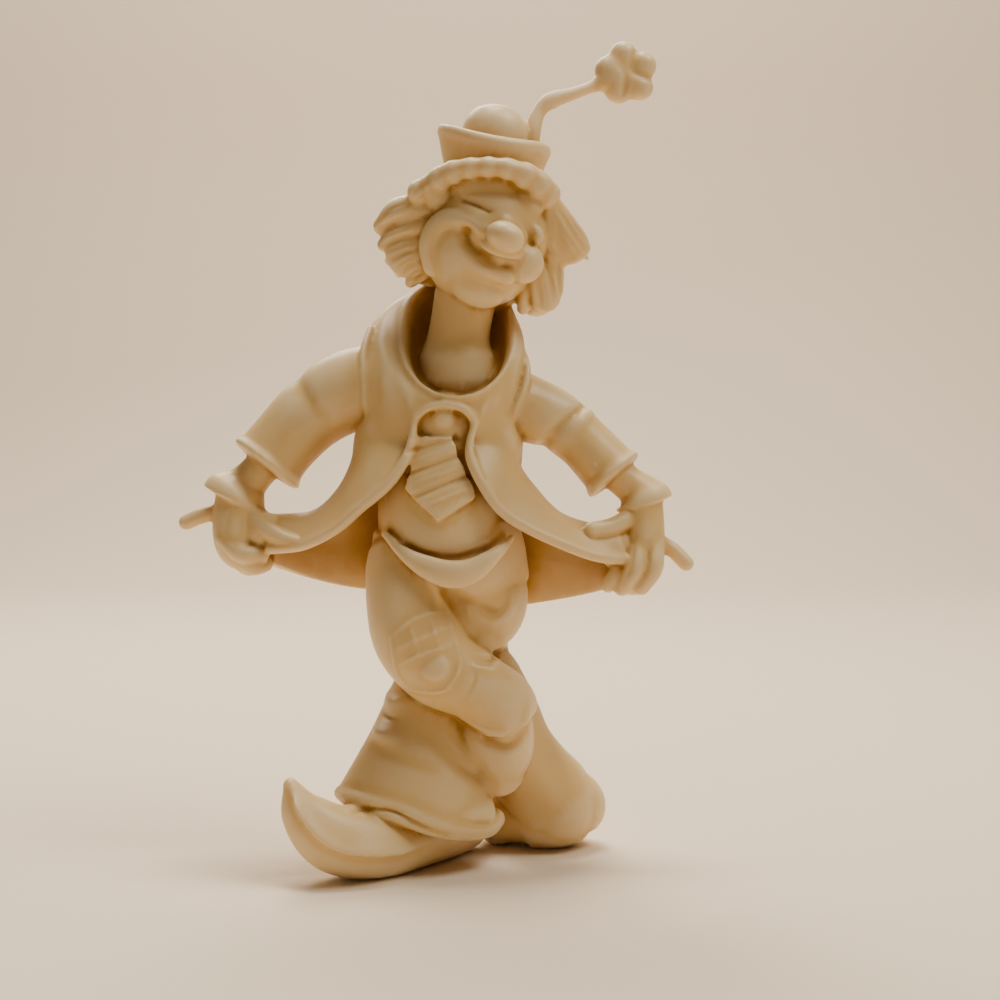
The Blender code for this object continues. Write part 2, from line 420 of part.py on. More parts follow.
def shoe_forms():
    """Long soft shoes, turned out: one with its toe curled up and a ridge along its side, one blunt."""
    def ridge(along, turned):
        side = np.clip((along - 0.3) / 0.2, 0, 1) * np.clip((1 - along) / 0.1, 0.3, 1)
        return 1.0 * side * np.exp(-(((turned + 0.15) / 0.42) ** 2))

    return [
        limb([(0.4, 5.4, 3.1, 3.4, 4.4), (-3.6, -0.4, 3.6, 4.0, 5.0), (-8.4, -6.4, 3.7, 4.1, 4.6),
              (-13.0, -9.4, 5.0, 3.9, 3.6), (-16.2, -10.4, 8.0, 2.7, 2.2), (-17.7, -10.6, 11.2, 0.9, 0.8)], 8, 40,
             relief=ridge),
        limb([(6.0, 8.6, 3.0, 3.2, 4.0), (9.0, 8.2, 4.4, 4.75, 5.4), (12.4, 7.6, 4.6, 5.0, 5.8),
              (14.8, 7.2, 5.0, 4.6, 4.9), (15.9, 7.0, 5.3, 3.8, 3.9)], 6, end_round=0.82),
        ball((12.8, 6.8, 5.6), (5.5, 5.9, 5.0), (0, 20, 0)),
    ]


def figure_forms():
    return [*head_forms(), *hair_forms(), *hat_forms(), *flower_forms(), *body_forms(), *tie_forms(),
            *coat_tail_forms(), *arm_forms(), *trouser_forms(), *shoe_forms()]


def joined(name, forms):
    """One object from closed forms that overlap, in metres."""
    points, faces = [], []
    count = 0
    for form_points, form_faces in forms:
        points.append(form_points * SHARE)
        faces.extend([[count + i for i in face] for face in form_faces])
        count += len(form_points)
    mesh = bpy.data.meshes.new(name)
    mesh.from_pydata(np.vstack(points).tolist(), [], faces)
    mesh.update()
    figure = bpy.data.objects.new(name, mesh)
    bpy.context.scene.collection.objects.link(figure)
    return figure


def applied(figure):
    """Makes the mesh what the object's modifiers show, and clears them."""
    graph = bpy.context.evaluated_depsgraph_get()
    mesh = bpy.data.meshes.new_from_object(figure.evaluated_get(graph))
    figure.modifiers.clear()
    figure.data = mesh


def fuse(figure):
    """Turns the overlapping forms into one skin, and rounds where they meet."""
    remesh = figure.modifiers.new("fuse", "REMESH")
    remesh.mode = "VOXEL"
    remesh.voxel_size = CAST_GRAIN
    smooth = figure.modifiers.new("round", "SMOOTH")
    smooth.factor = 0.5
    smooth.iterations = FUSE_SMOOTHING
    applied(figure)


# Where one form runs softly into the next: a place, and how far around it the skin is evened out
SOFT = [(-7.0, -4.8, 51.6, 2.6), (5.4, -4.9, 50.6, 2.4), (14.6, 2.4, 8.4, 3.0), (10.4, 1.4, 7.0, 2.4),
        (3.0, -6.6, 12.6, 2.0), (4.6, -5.6, 10.0, 1.8), (5.6, -5.2, 29.4, 2.6), (2.6, -6.8, 68.0, 1.8),
        (8.6, -6.6, 75.6, 1.4), (4.4, -6.9, 75.4, 1.2)]
SOFT_ROUNDS = 45


def soften(figure, places, rounds):
    mesh = figure.data
    points = np.empty(len(mesh.vertices) * 3, np.float32)
    mesh.vertices.foreach_get("co", points)
    points = points.reshape(-1, 3) / SHARE
    weight = np.zeros(len(points))
    for x, y, z, reach in places:
        away = np.linalg.norm(points - [x, y, z], axis=1)
        weight = np.maximum(weight, np.exp(-((away / reach) ** 2)))
    group = figure.vertex_groups.new(name="soft")
    for index in np.nonzero(weight > 0.02)[0].tolist():
        group.add([index], weight[index], "REPLACE")
    smooth = figure.modifiers.new("soften", "SMOOTH")
    smooth.vertex_group = group.name
    smooth.factor = 0.5
    smooth.iterations = rounds
    applied(figure)
    figure.vertex_groups.clear()


def carve(figure, strokes):
    """Cuts a groove, or with a negative depth raises a ridge, along each smooth path on the skin.

    Each row is a point of the path as seen from the front, x and z, then half the groove's width and its depth.
    """
    mesh = figure.data
    skin = BVHTree.FromObject(figure, bpy.context.evaluated_depsgraph_get())
    points = np.empty(len(mesh.vertices) * 3, np.float32)
    normals = np.empty(len(mesh.vertices) * 3, np.float32)
    mesh.vertices.foreach_get("co", points)
    mesh.vertex_normals.foreach_get("vector", normals)
    points, normals = points.reshape(-1, 3) / SHARE, normals.reshape(-1, 3)
    sunk = np.zeros(len(points))
    for rows in strokes:
        track = []
        for x, z, wide, deep in smooth_path(rows, 8):
            met = skin.ray_cast((x * SHARE, -FIGURE_HEIGHT, z * SHARE), (0, 1, 0))[0]
            if met is not None:
                track.append([x, met.y / SHARE, z, wide, deep])
        track = np.array(track)
        reach = 3 * track[:, 3].max()
        near = ((points > track[:, :3].min(0) - reach) & (points < track[:, :3].max(0) + reach)).all(1)
        away = np.linalg.norm(points[near][:, None] - track[None, :, :3], axis=2)
        shape = track[:, 4] * np.exp(-((away / track[:, 3]) ** 2))
        nearest = np.abs(shape).argmax(1)
        sunk[near] += shape[np.arange(len(nearest)), nearest]
    points -= normals * sunk[:, None]
    mesh.vertices.foreach_set("co", (points * SHARE).astype(np.float32).ravel())
    mesh.update()


def carving():
    """Eyes shut with laughing, the smile, the creases of the trousers and the tie's stripes."""
    return [
        [(1.8, 77.9, 0.4, 0.4), (3.3, 77.3, 0.45, 0.6), (4.7, 76.5, 0.4, 0.4)],
        [(8.9, 75.0, 0.5, 0.2), (9.5, 74.0, 0.6, 0.35), (9.7, 73.0, 0.6, 0.3)],
        [(1.9, 73.9, 0.9, 1.1), (2.3, 72.9, 0.9, 1.2), (3.4, 71.7, 0.7, 1.0), (4.9, 70.9, 0.6, 0.8),
         (6.8, 70.5, 0.5, 0.6), (8.0, 70.6, 0.4, 0.3)],
        [(0.0, 32.6, 1.1, 0.4), (1.8, 30.4, 1.2, 0.5), (3.6, 27.6, 1.0, 0.3)],
        [(-10.4, 8.0, 0.5, 0.2), (-8.9, 8.2, 0.5, 0.4), (-6.2, 8.1, 0.5, 0.5), (-3.7, 6.8, 0.5, 0.4),
         (-0.3, 5.1, 0.5, 0.2)],
        [(-4.4, 48.9, 0.4, 0.25), (-1.2, 49.9, 0.4, 0.3), (0.9, 50.4, 0.4, 0.25)],
        [(-4.6, 46.3, 0.4, 0.3), (-1.0, 47.6, 0.4, 0.35), (1.8, 48.6, 0.4, 0.3)],
        [(-4.0, 43.6, 0.4, 0.3), (-0.6, 45.0, 0.4, 0.35), (2.6, 46.2, 0.4, 0.3)],
    ]


def thin_out(figure):
    """Fewer, larger faces where the skin is plain."""
    figure.data.calc_loop_triangles()
    fewer = figure.modifiers.new("fewer faces", "DECIMATE")
    fewer.ratio = min(1.0, MOST_TRIANGLES / len(figure.data.loop_triangles))
    fewer.use_collapse_triangulate = True
    applied(figure)


def cut_soles(figure):
    """Cuts the soles flat, so that the figure stands."""
    side = 2 * FIGURE_HEIGHT
    mesh = bpy.data.meshes.new("ground")
    box = [(x * side, y * side, z) for z in (-side, 0) for y in (-1, 1) for x in (-1, 1)]
    mesh.from_pydata(box, [], [(0, 2, 3, 1), (4, 5, 7, 6), (0, 1, 5, 4), (2, 6, 7, 3), (0, 4, 6, 2), (1, 3, 7, 5)])
    ground = bpy.data.objects.new("ground", mesh)
    ground.hide_render = True
    ground.display_type = "WIRE"
    bpy.context.scene.collection.objects.link(ground)
    cut = figure.modifiers.new("flat soles", "BOOLEAN")
    cut.operation = "DIFFERENCE"
    cut.object = ground
    applied(figure)


def stand(figure):
    """Puts the figure's box over the origin, with the part to cut off below the ground."""
    corners = np.array([vertex.co for vertex in figure.data.vertices])
    low, high = corners.min(0), corners.max(0)
    middle = (low + high) / 2
    figure.data.transform(Matrix.Translation((-middle[0], -middle[1], -low[2] - SOLE_CUT)))


def ivory_plastic():
    material = bpy.data.materials.new("ivory plastic")
    material.use_nodes = True
    surface = material.node_tree.nodes["Principled BSDF"]
    surface.inputs["Base Color"].default_value = (0.86, 0.74, 0.53, 1)
    surface.inputs["Roughness"].default_value = 0.45
    surface.inputs["Metallic"].default_value = 0.0
    return material


def main():
    for thing in list(bpy.data.objects):
        bpy.data.objects.remove(thing)
    figure = joined("clown", figure_forms())
    fuse(figure)
    soften(figure, SOFT, SOFT_ROUNDS)
    carve(figure, carving())
    thin_out(figure)
    stand(figure)
    cut_soles(figure)
    figure.data.shade_smooth()
    figure.data.set_sharp_from_angle(angle=math.radians(50))
    figure.data.materials.clear()
    figure.data.materials.append(ivory_plastic())


main()
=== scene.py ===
import math

import bpy
import numpy as np
from mathutils import Euler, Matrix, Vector
from mathutils.bvhtree import BVHTree


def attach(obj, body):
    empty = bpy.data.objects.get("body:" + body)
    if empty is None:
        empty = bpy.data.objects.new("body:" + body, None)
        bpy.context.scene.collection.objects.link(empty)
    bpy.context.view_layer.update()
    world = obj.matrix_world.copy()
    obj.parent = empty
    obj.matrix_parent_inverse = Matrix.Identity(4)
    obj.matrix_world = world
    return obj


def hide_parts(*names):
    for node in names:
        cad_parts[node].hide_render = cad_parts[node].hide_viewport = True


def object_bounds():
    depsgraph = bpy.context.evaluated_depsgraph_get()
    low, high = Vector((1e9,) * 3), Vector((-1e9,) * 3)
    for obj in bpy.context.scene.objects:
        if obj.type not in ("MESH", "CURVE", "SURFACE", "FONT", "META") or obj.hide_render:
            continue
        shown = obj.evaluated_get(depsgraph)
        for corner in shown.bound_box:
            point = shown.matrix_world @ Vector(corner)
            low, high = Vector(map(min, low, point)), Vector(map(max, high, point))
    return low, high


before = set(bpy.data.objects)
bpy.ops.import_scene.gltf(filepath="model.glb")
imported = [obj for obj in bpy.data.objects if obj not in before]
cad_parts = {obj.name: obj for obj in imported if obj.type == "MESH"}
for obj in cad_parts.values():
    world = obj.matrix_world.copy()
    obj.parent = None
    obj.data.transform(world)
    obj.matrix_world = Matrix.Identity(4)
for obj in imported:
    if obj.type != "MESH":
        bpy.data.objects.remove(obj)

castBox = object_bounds()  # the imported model's box

# The figure is drawn in hundredths of its height, x to the viewer's right, y to the back, z up
cast = {
    "height": 0.075,  # soles to the top of the flower
    "coatWall": 0.0011,  # wall of the coat tails that the hands hold out
    "hemBead": 0.00055,  # radius of the rolled edge along the coat and the neckline
    "stemRadius": 0.0006,  # the flower's stem
    "fingerRadius": 0.00072,  # the little fingers
    "tieRelief": 0.0006,  # how far the tie stands off the shirt
    "grain": 0.00016,  # side of the blocks that the forms are fused from
    "fuseRounds": 4,  # passes that round the fused skin
    "softRounds": 160,  # passes that even out the skin where forms run into each other
    "finerAlong": 2,  # how many times finer a limb is drawn along than its own steps
    "finerAround": 3,  # and every rounded form around
    "mostTriangles": 196000,
}
hundredth = cast["height"] / 100
front = np.array([0.0, -1.0, 0.0])
thinnest = 0.15  # no limb's half width goes below it, in hundredths
capTurns = np.radians([22, 44, 64, 80])  # the rings of a rounded end, from its rim to its pole


def share(metres):
    # A real size in hundredths of the figure's height.
    return metres / hundredth


def unit(vectors):
    # Each vector divided by its own length.
    return vectors / np.maximum(np.linalg.norm(vectors, axis=-1, keepdims=True), 1e-9)


def smoothPath(rows, steps):
    # A Catmull-Rom curve through the rows, with the given steps between each two.
    rows = np.asarray(rows, float)
    ends = np.vstack([2 * rows[0] - rows[1], rows, 2 * rows[-1] - rows[-2]])
    t = np.linspace(0, 1, steps, endpoint=False)[:, None]
    spans = []
    for a, b, c, d in zip(ends, ends[1:], ends[2:], ends[3:]):
        spans.append(0.5 * (2 * b + (c - a) * t + (2 * a - 5 * b + 4 * c - d) * t**2
                            + (3 * b - a - 3 * c + d) * t**3))
    return np.vstack([*spans, rows[-1:]])


def ringFaces(rings, around):
    # Quads between closed rings, and a fan at each end to the two last points.
    at = np.arange(rings * around).reshape(rings, around)
    near, far = at[:-1], at[1:]
    quads = np.stack([near, np.roll(near, -1, 1), np.roll(far, -1, 1), far], -1).reshape(-1, 4)
    first, last = at[0], at[-1]
    start = np.stack([np.roll(first, -1), first, np.full(around, rings * around)], -1)
    end = np.stack([last, np.roll(last, -1), np.full(around, rings * around + 1)], -1)
    return quads.tolist() + start.tolist() + end.tolist()


def limb(rows, steps=6, around=28, startRound=1.0, endRound=1.0, relief=None):
    # A closed tube. Each row is a centre, a half width across and a half depth to the front.
    # relief(along, turned) adds to the section's size, in shares, with turned 0 at the front.
    track, around = smoothPath(rows, cast["finerAlong"] * steps), cast["finerAround"] * around
    centre, half = track[:, :3], np.maximum(track[:, 3:5], thinnest)
    along = unit(np.gradient(centre, axis=0))
    toFront = unit(front - (along @ front)[:, None] * along)
    across = np.cross(along, toFront)
    angle = np.linspace(0, 2 * math.pi, around, endpoint=False)
    swell = 0.0
    if relief is not None:
        swell = relief(np.linspace(0, 1, len(track))[:, None], angle[None, :])
    ringA = (half[:, :1] + swell) * np.sin(angle)
    ringB = (half[:, 1:] + swell) * np.cos(angle)
    points = centre[:, None] + ringA[..., None] * across[:, None] + ringB[..., None] * toFront[:, None]
    rings = [points]
    for end, sign, roundness in ((0, -1, startRound), (-1, 1, endRound)):
        if not roundness:
            continue
        reach = roundness * half[end].min()
        cap = [centre[end] + sign * along[end] * reach * math.sin(a)
               + (points[end] - centre[end]) * math.cos(a) for a in capTurns]
        rings = [np.array(cap[::-1]), *rings] if end == 0 else [*rings, np.array(cap)]
    shell = np.vstack(rings)
    poles = [centre[0] - along[0] * startRound * half[0].min(),
             centre[-1] + along[-1] * endRound * half[-1].min()]
    return np.vstack([shell.reshape(-1, 3), poles]), ringFaces(len(shell), around)


def ball(centre, radii, turn=(0, 0, 0), relief=None, rings=18, around=28):
    # An egg shape with its own turn in degrees. relief(x, z, ahead) works in its own axes.
    rings, around = cast["finerAround"] * rings, cast["finerAround"] * around
    height = np.linspace(-math.pi / 2, math.pi / 2, rings + 2)[1:-1]
    angle = np.linspace(0, 2 * math.pi, around, endpoint=False)
    lat, lon = np.meshgrid(height, angle, indexing="ij")
    way = np.stack([np.cos(lat) * np.sin(lon), -np.cos(lat) * np.cos(lon), np.sin(lat)], -1)
    way = np.vstack([way.reshape(-1, 3), [[0, 0, -1], [0, 0, 1]]])
    points = way * np.asarray(radii, float)
    if relief is not None:
        points = points + unit(points) * relief(points[:, 0], points[:, 2], -way[:, 1])[:, None]
    spin = np.array(Euler([math.radians(a) for a in turn], "XYZ").to_matrix())
    return points @ spin.T + np.asarray(centre, float), ringFaces(rings, around)


def loft(curves, steps=8, across=5):
    # A grid of points through the curves, smooth both along each and from one to the next.
    fine = np.array([smoothPath(curve, steps) for curve in curves])
    return smoothPath(fine.reshape(len(curves), -1), across).reshape(-1, fine.shape[1], 3)


def sheet(grid, wall):
    # A closed sheet: each grid point moved half the wall along its normal, both ways, and a rim.
    normal = unit(np.cross(np.gradient(grid, axis=0), np.gradient(grid, axis=1)))
    both = np.vstack([(grid + normal * wall / 2).reshape(-1, 3), (grid - normal * wall / 2).reshape(-1, 3)])
    rows, columns = grid.shape[:2]
    at = np.arange(rows * columns).reshape(rows, columns)
    top = np.stack([at[:-1, :-1], at[1:, :-1], at[1:, 1:], at[:-1, 1:]], -1).reshape(-1, 4)
    under = rows * columns
    edge = np.concatenate([at[0, :-1], at[:-1, -1], at[-1, :0:-1], at[:0:-1, 0]])
    ahead = np.roll(edge, -1)
    rim = np.stack([edge, ahead, ahead + under, edge + under], -1)
    return both, top.tolist() + (top[:, ::-1] + under).tolist() + rim.tolist()


# The head leans to one side and looks past the viewer
headAt = (4.6, -0.4, 74.4)
headTurn = (-4, 25, 13)


def headForms():
    # Skull, laughing cheeks, lips, chin, nose, brows and neck.
    return [
        ball(headAt, (7.5, 7.6, 8.8), headTurn, rings=30, around=44),
        limb([(-1.7, -3.2, 70.6, 1.4, 1.4), (-1.9, -3.8, 73.0, 1.6, 1.5), (-1.0, -4.7, 74.9, 1.6, 1.5),
              (0.7, -5.7, 75.6, 1.6, 1.5), (2.6, -6.6, 75.0, 1.5, 1.4), (4.4, -7.4, 74.1, 1.2, 1.2)]),
        ball((8.8, -5.3, 70.7), (2.3, 2.1, 2.4), (0, 10, 0)),
        limb([(3.2, -6.6, 73.2, 1.1, 1.0), (4.5, -7.1, 72.5, 1.4, 1.3), (6.0, -7.3, 72.0, 1.5, 1.4),
              (7.5, -7.0, 71.7, 1.4, 1.3)]),
        limb([(1.3, -5.9, 72.2, 0.8, 0.8), (2.8, -6.3, 70.8, 0.95, 0.95), (4.5, -6.4, 69.8, 1.1, 1.1),
              (6.9, -6.2, 69.2, 1.1, 1.0)]),
        ball((3.2, -3.2, 68.3), (3.6, 2.9, 2.5), (0, 25, 0)),
        ball((6.6, -8.9, 73.3), (2.3, 2.0, 1.75), headTurn),
        limb([(5.6, -5.9, 78.2, 1.0, 0.9), (6.1, -6.6, 76.0, 0.9, 0.9), (6.4, -7.6, 74.6, 1.1, 1.0)]),
        ball((3.2, -4.6, 79.0), (2.8, 1.8, 1.8), (0, 15, 0)),
        ball((8.8, -4.8, 77.8), (2.4, 1.6, 1.6), (0, 30, 0)),
        ball((10.2, -5.4, 73.9), (0.9, 0.9, 1.2)),
        limb([(0.9, 0.9, 57.6, 5.2, 4.8), (0.9, 0.7, 60.0, 4.6, 4.4), (1.1, 0.6, 62.6, 3.7, 3.6),
              (1.9, 0.4, 67.5, 3.7, 3.6)]),
    ]


def hairForms():
    # The mass behind the head, the fringe under the hat, and the locks at each side.
    def backStrands(x, z, ahead):
        # A cosine across the width, on all but the front.
        return 0.22 * np.cos(x * 3.2) * (ahead < 0.35)

    def combed(along, turned):
        # Eight wavering waves along the fringe, on all but its back.
        return 0.08 * np.cos(along * 2 * math.pi * 8 + np.cos(along * 9)) * (np.cos(turned) > -0.4)

    forms = [
        ball((5.0, 3.4, 74.6), (7.6, 6.2, 8.8), (0, 14, 0), backStrands, 40, 72),
        ball((10.4, 2.8, 70.2), (3.4, 3.8, 5.2)),
        ball((-2.2, 2.4, 73.6), (4.2, 4.2, 5.0)),
        ball((-0.9, -2.4, 79.0), (2.8, 3.2, 2.6)),
        ball((-4.3, -0.9, 73.4), (3.3, 2.2, 4.2), (0, 18, 0)),
        ball((10.9, -0.7, 69.4), (2.6, 2.0, 4.2), (0, -12, 0)),
        ball((4.8, -1.2, 79.0), (6.8, 5.6, 4.6), (0, 8, 0)),
        limb([(-2.0, -4.6, 79.7, 1.5, 1.4), (0.0, -5.9, 80.9, 1.4, 1.3), (2.7, -6.8, 81.5, 1.2, 1.2),
              (6.6, -7.2, 81.4, 1.2, 1.2), (9.6, -6.2, 80.3, 1.6, 1.4), (11.5, -4.6, 78.7, 1.7, 1.5)],
             9, relief=combed),
        ball((-3.2, -4.0, 79.2), (1.7, 1.6, 1.5), (0, -15, 0)),
    ]
    leftLocks = [
        [(-2.2, -2.6, 77.4, 1.4, 1.6), (-5.6, -2.0, 77.0, 1.9, 1.9), (-7.9, -0.6, 75.6, 1.2, 1.3)],
        [(-2.0, -2.4, 75.6, 1.2, 1.6), (-5.6, -1.6, 74.7, 1.4, 1.7), (-7.7, -0.4, 73.4, 0.9, 1.2)],
        [(-1.8, -2.0, 74.0, 1.1, 1.5), (-4.9, -1.1, 72.9, 1.2, 1.6), (-6.9, 0.2, 71.6, 0.8, 1.1)],
        [(-1.7, -1.4, 72.6, 1.0, 1.4), (-4.2, -0.7, 71.4, 1.1, 1.4), (-5.9, 0.4, 70.2, 0.7, 1.0)],
        [(-1.4, -0.6, 71.2, 1.0, 1.4), (-3.4, 0.0, 70.0, 1.0, 1.3), (-4.7, 0.8, 69.0, 0.7, 0.9)],
    ]
    rightLocks = [
        [(10.8, -3.6, 79.0, 1.4, 1.5), (12.4, -2.6, 76.4, 1.9, 1.7), (14.2, -1.5, 73.6, 2.2, 1.5),
         (15.2, -1.0, 72.3, 1.9, 1.0)],
        [(11.4, -2.8, 76.2, 1.2, 1.4), (12.0, -1.8, 73.4, 1.3, 1.5), (13.2, -0.8, 71.6, 1.1, 1.2)],
        [(11.9, -1.4, 72.2, 1.1, 1.4), (12.2, -0.6, 69.4, 1.1, 1.4), (12.2, 0.2, 67.3, 0.9, 1.1)],
        [(10.6, -1.6, 71.0, 1.0, 1.4), (10.8, -0.6, 68.4, 1.1, 1.4), (10.6, 0.2, 66.6, 0.8, 1.1)],
        [(9.4, -1.2, 69.8, 1.0, 1.4), (9.2, -0.2, 67.4, 1.1, 1.4), (8.8, 0.6, 65.9, 0.8, 1.1)],
    ]
    return forms + [limb(rows, 8) for rows in leftLocks + rightLocks]


def hatForms():
    # A small round hat with its brim rolled up: a profile of radius and height turned about the axis.
    # The brim's extra height is a cosine that lifts one side and a half turn's cosine that dips the front.
    profile = smoothPath([(5.5, -1.2), (6.1, 0.2), (6.5, 1.6), (6.9, 2.7), (6.6, 3.5), (5.9, 3.4), (5.2, 2.5),
                           (4.5, 2.0), (4.1, 2.9), (4.0, 4.4), (3.6, 5.9), (2.6, 7.2), (1.2, 7.8)], 4)
    angle = np.linspace(0, 2 * math.pi, 48, endpoint=False)
    around, out = np.meshgrid(angle, profile[:, 0])
    up = np.repeat(profile[:, 1:], len(angle), 1)
    brim = np.clip((out - 4.2) / 2.4, 0, 1)
    up = up + brim * (0.7 * np.cos(around - math.radians(185)) + 0.65 * np.cos(2 * around))
    grid = np.stack([out * np.cos(around), 0.95 * out * np.sin(around), up], -1)
    points = np.vstack([grid.reshape(-1, 3), [[0, 0, -1.2], [0, 0, 7.9]]])
    lean = np.array(Euler((math.radians(-2), math.radians(5), 0)).to_matrix())
    return [(points @ lean.T + np.array([5.0, 0.2, 82.3]), ringFaces(*grid.shape[:2]))]


def flowerForms():
    # A bent stem that swells into the flower's base, a middle, and five lobes in a ring about it.
    stem = share(cast["stemRadius"])
    centre = np.array([21.5, 5.4, 95.0])
    forms = [
        limb([(9.4, 1.0, 84.0, 1.2, 1.2), (9.9, 1.2, 87.2, 1.05, 1.05), (10.7, 1.8, 89.6, 0.85, 0.85),
              (12.2, 2.4, 91.1, 1.3 * stem, 1.2 * stem), (14.8, 3.4, 92.1, stem, stem),
              (17.3, 4.4, 93.2, stem, stem), (18.8, 4.9, 94.0, 1.5, 1.5), (20.2, 5.2, 94.7, 2.3, 2.1)], 7),
        ball(centre + [0.3, 0.4, 0.2], (2.0, 1.7, 2.0)),
    ]
    for step in range(5):
        angle = math.radians(100 + 72 * step)
        reach = 2.1 * np.array([math.cos(angle), 0.15 * math.cos(angle), math.sin(angle)])
        forms.append(ball(centre + reach, (1.9, 1.6, 1.9)))
    return forms


# The shirted body and the coat over it, from the hips up: centre, half width, half depth
bodyRows = [
    (-0.4, 0.4, 35, 7.4, 7.2), (-0.7, -0.2, 40, 7.8, 8.2), (-1.1, 0.0, 46, 7.4, 6.8),
    (-0.9, 0.6, 51.5, 7.6, 6.2), (-0.4, 2.0, 55, 7.2, 3.8),
]
# The coat from the waist up, over the shoulders and the rolled edge of the neckline, and down inside it.
# Each ring is a centre, a half width, a half length, its lean back in degrees, and how far its sides rise.
coatRings = [
    (-1.4, 1.2, 44.5, 8.6, 5.8, 0, 0), (-1.3, 0.8, 47.8, 8.8, 6.7, 3, 0.2),
    (-1.2, 0.5, 51.2, 9.2, 7.0, 11, 1.0),
    (-0.9, 0.3, 55.4, 9.8, 7.6, 23.5, 2.4), (-0.7, 0.3, 58.8, 9.6, 8.6, 36.7, 2.8),
    (-0.2, 0.1, 61.1, 8.3, 9.6, 45.4, 2.2), (0.7, -0.1, 62.2, 7.3, 10.0, 49.5, 0.8),
    (0.9, -0.5, 62.8, 6.7, 9.8, 50, 0.3), (0.9, -0.3, 62.0, 5.9, 9.0, 50, 0.1),
    (1.0, 0.2, 60.6, 5.2, 8.0, 49, 0), (1.0, 0.6, 59.8, 3.6, 5.8, 48, 0),
]
# Front edges of the coat, from the collar down and out to each hand
leftFront = [
    (-0.5, -6.7, 54.3), (-2.4, -6.6, 53.8), (-3.8, -6.3, 52.5), (-4.1, -6.7, 50.6), (-4.8, -7.4, 48.1),
    (-6.9, -7.6, 45.1), (-10.1, -7.1, 42.4), (-12.9, -6.2, 40.0), (-16.8, -5.0, 38.0), (-20.8, -3.4, 37.4),
]
rightFront = [
    (-0.4, -6.7, 54.3), (1.8, -6.6, 53.7), (3.0, -6.3, 52.1), (2.6, -6.7, 50.2), (2.6, -7.3, 48.2),
    (3.8, -7.7, 45.5), (6.1, -7.7, 42.2), (9.5, -7.1, 39.9), (15.0, -5.6, 37.4), (18.2, -4.4, 36.4),
    (20.6, -3.2, 36.2),
]
gapDown = 38  # the coat stands open from its collar down to this height
gapSunk = 1.2  # how far the coat's skin lies inside the shirt there


def frontOf(rows, x, z):
    # The front of a rounded form at x, z: middle - depth x root of (1 - (offset / half width)^2).
    rows = np.array(rows)
    cx, cy, wide, deep = (np.interp(z, rows[:, 2], rows[:, k]) for k in (0, 1, 3, 4))
    return cy - deep * np.sqrt(np.clip(1 - ((x - cx) / wide) ** 2, 0.05, 1))


def parted(form):
    # Sinks the points of a form that lie between the coat's front edges into the body.
    points, faces = form
    left, right = np.array(leftFront)[::-1], np.array(rightFront)[::-1]
    x, z = points[:, 0], points[:, 2]
    within = (x > np.interp(z, left[:, 2], left[:, 0])) & (x < np.interp(z, right[:, 2], right[:, 0]))
    within &= (z < left[-1, 2]) & (z > gapDown) & (points[:, 1] < 0)
    points[within, 1] = np.maximum(points[within, 1], frontOf(bodyRows, x, z)[within] + gapSunk)
    return points, faces


def coatForm():
    # Leaning rings: across = half width x cosine, to the back = half length x a squared-off sine,
    # up = the back's share of the lean + rise x cosine squared.
    angle = np.linspace(0, 2 * math.pi, 128, endpoint=False)
    toSide, toBack = np.cos(angle), np.sign(np.sin(angle)) * np.abs(np.sin(angle)) ** 0.86
    rings = []
    for x, y, z, wide, long, lean, rise in coatRings:
        lean = math.radians(lean)
        rings.append(np.stack([x + wide * toSide, y + long * toBack * math.cos(lean),
                               z + long * toBack * math.sin(lean) + rise * toSide**2], -1))
    skin = smoothPath(np.array(rings).reshape(len(rings), -1), 7).reshape(-1, len(angle), 3)
    ends = [skin[0].mean(0), skin[-1].mean(0)]
    return np.vstack([skin.reshape(-1, 3), ends]), ringFaces(*skin.shape[:2])


def bodyForms():
    # The shirted body, the coat over it, the chest's sides, the armhole edges and the rolled front edges.
    bead = share(cast["hemBead"])
    armholes = [
        [(-9.5, 0.6, 63.4), (-10.1, -1.6, 61.0), (-10.1, -2.8, 58.4), (-9.8, -3.2, 55.1), (-9.2, -2.8, 52.0)],
        [(8.4, 0.6, 61.4), (9.2, -1.4, 58.9), (9.0, -2.6, 56.7), (8.0, -3.2, 54.1), (6.9, -3.0, 51.6)],
    ]
    forms = [
        limb(bodyRows, endRound=0.5),
        parted(coatForm()),
        ball((-7.3, -2.2, 51.3), (3.0, 2.6, 5.0), (0, 12, 0)),
        ball((5.3, -2.4, 50.5), (2.7, 2.6, 5.0), (0, -12, 0)),
    ]
    forms.extend(limb([(*p, 0.6 * bead, 0.7 * bead) for p in edge]) for edge in armholes)
    for rim in (leftFront, rightFront):
        swell = np.interp(np.arange(len(rim)), [0, 3, 5], [0.6, 0.75, 1.0])
        forms.append(limb([(*p, 0.95 * bead * k, 1.2 * bead * k) for p, k in zip(rim, swell)]))
    return forms


def tieForms():
    # A knot, and a blade that widens to a blunt point, lying on the shirt.
    proud = share(cast["tieRelief"])
    edges = [(50.4, -3.2, 0.5), (48.0, -3.8, 1.1), (46.0, -4.3, 2.0), (44.4, -4.7, 2.7), (43.4, -3.9, 2.9),
             (42.2, -2.5, 1.2), (40.9, -1.2, -0.7)]
    across = np.linspace(0, 1, 9)
    x = np.array([left + (right - left) * across for _, left, right in edges])
    z = np.array([np.full(9, height) for height, _, _ in edges])
    y = frontOf(bodyRows, x, z) - 0.4 * proud
    return [
        sheet(np.stack([x, y, z], -1), 2.2 * proud),
        ball((-0.5, -5.9, 52.6), (1.4, 1.1, 1.4)),
        ball((-0.6, -3.1, 51.8), (4.2, 3.4, 4.0)),
    ]


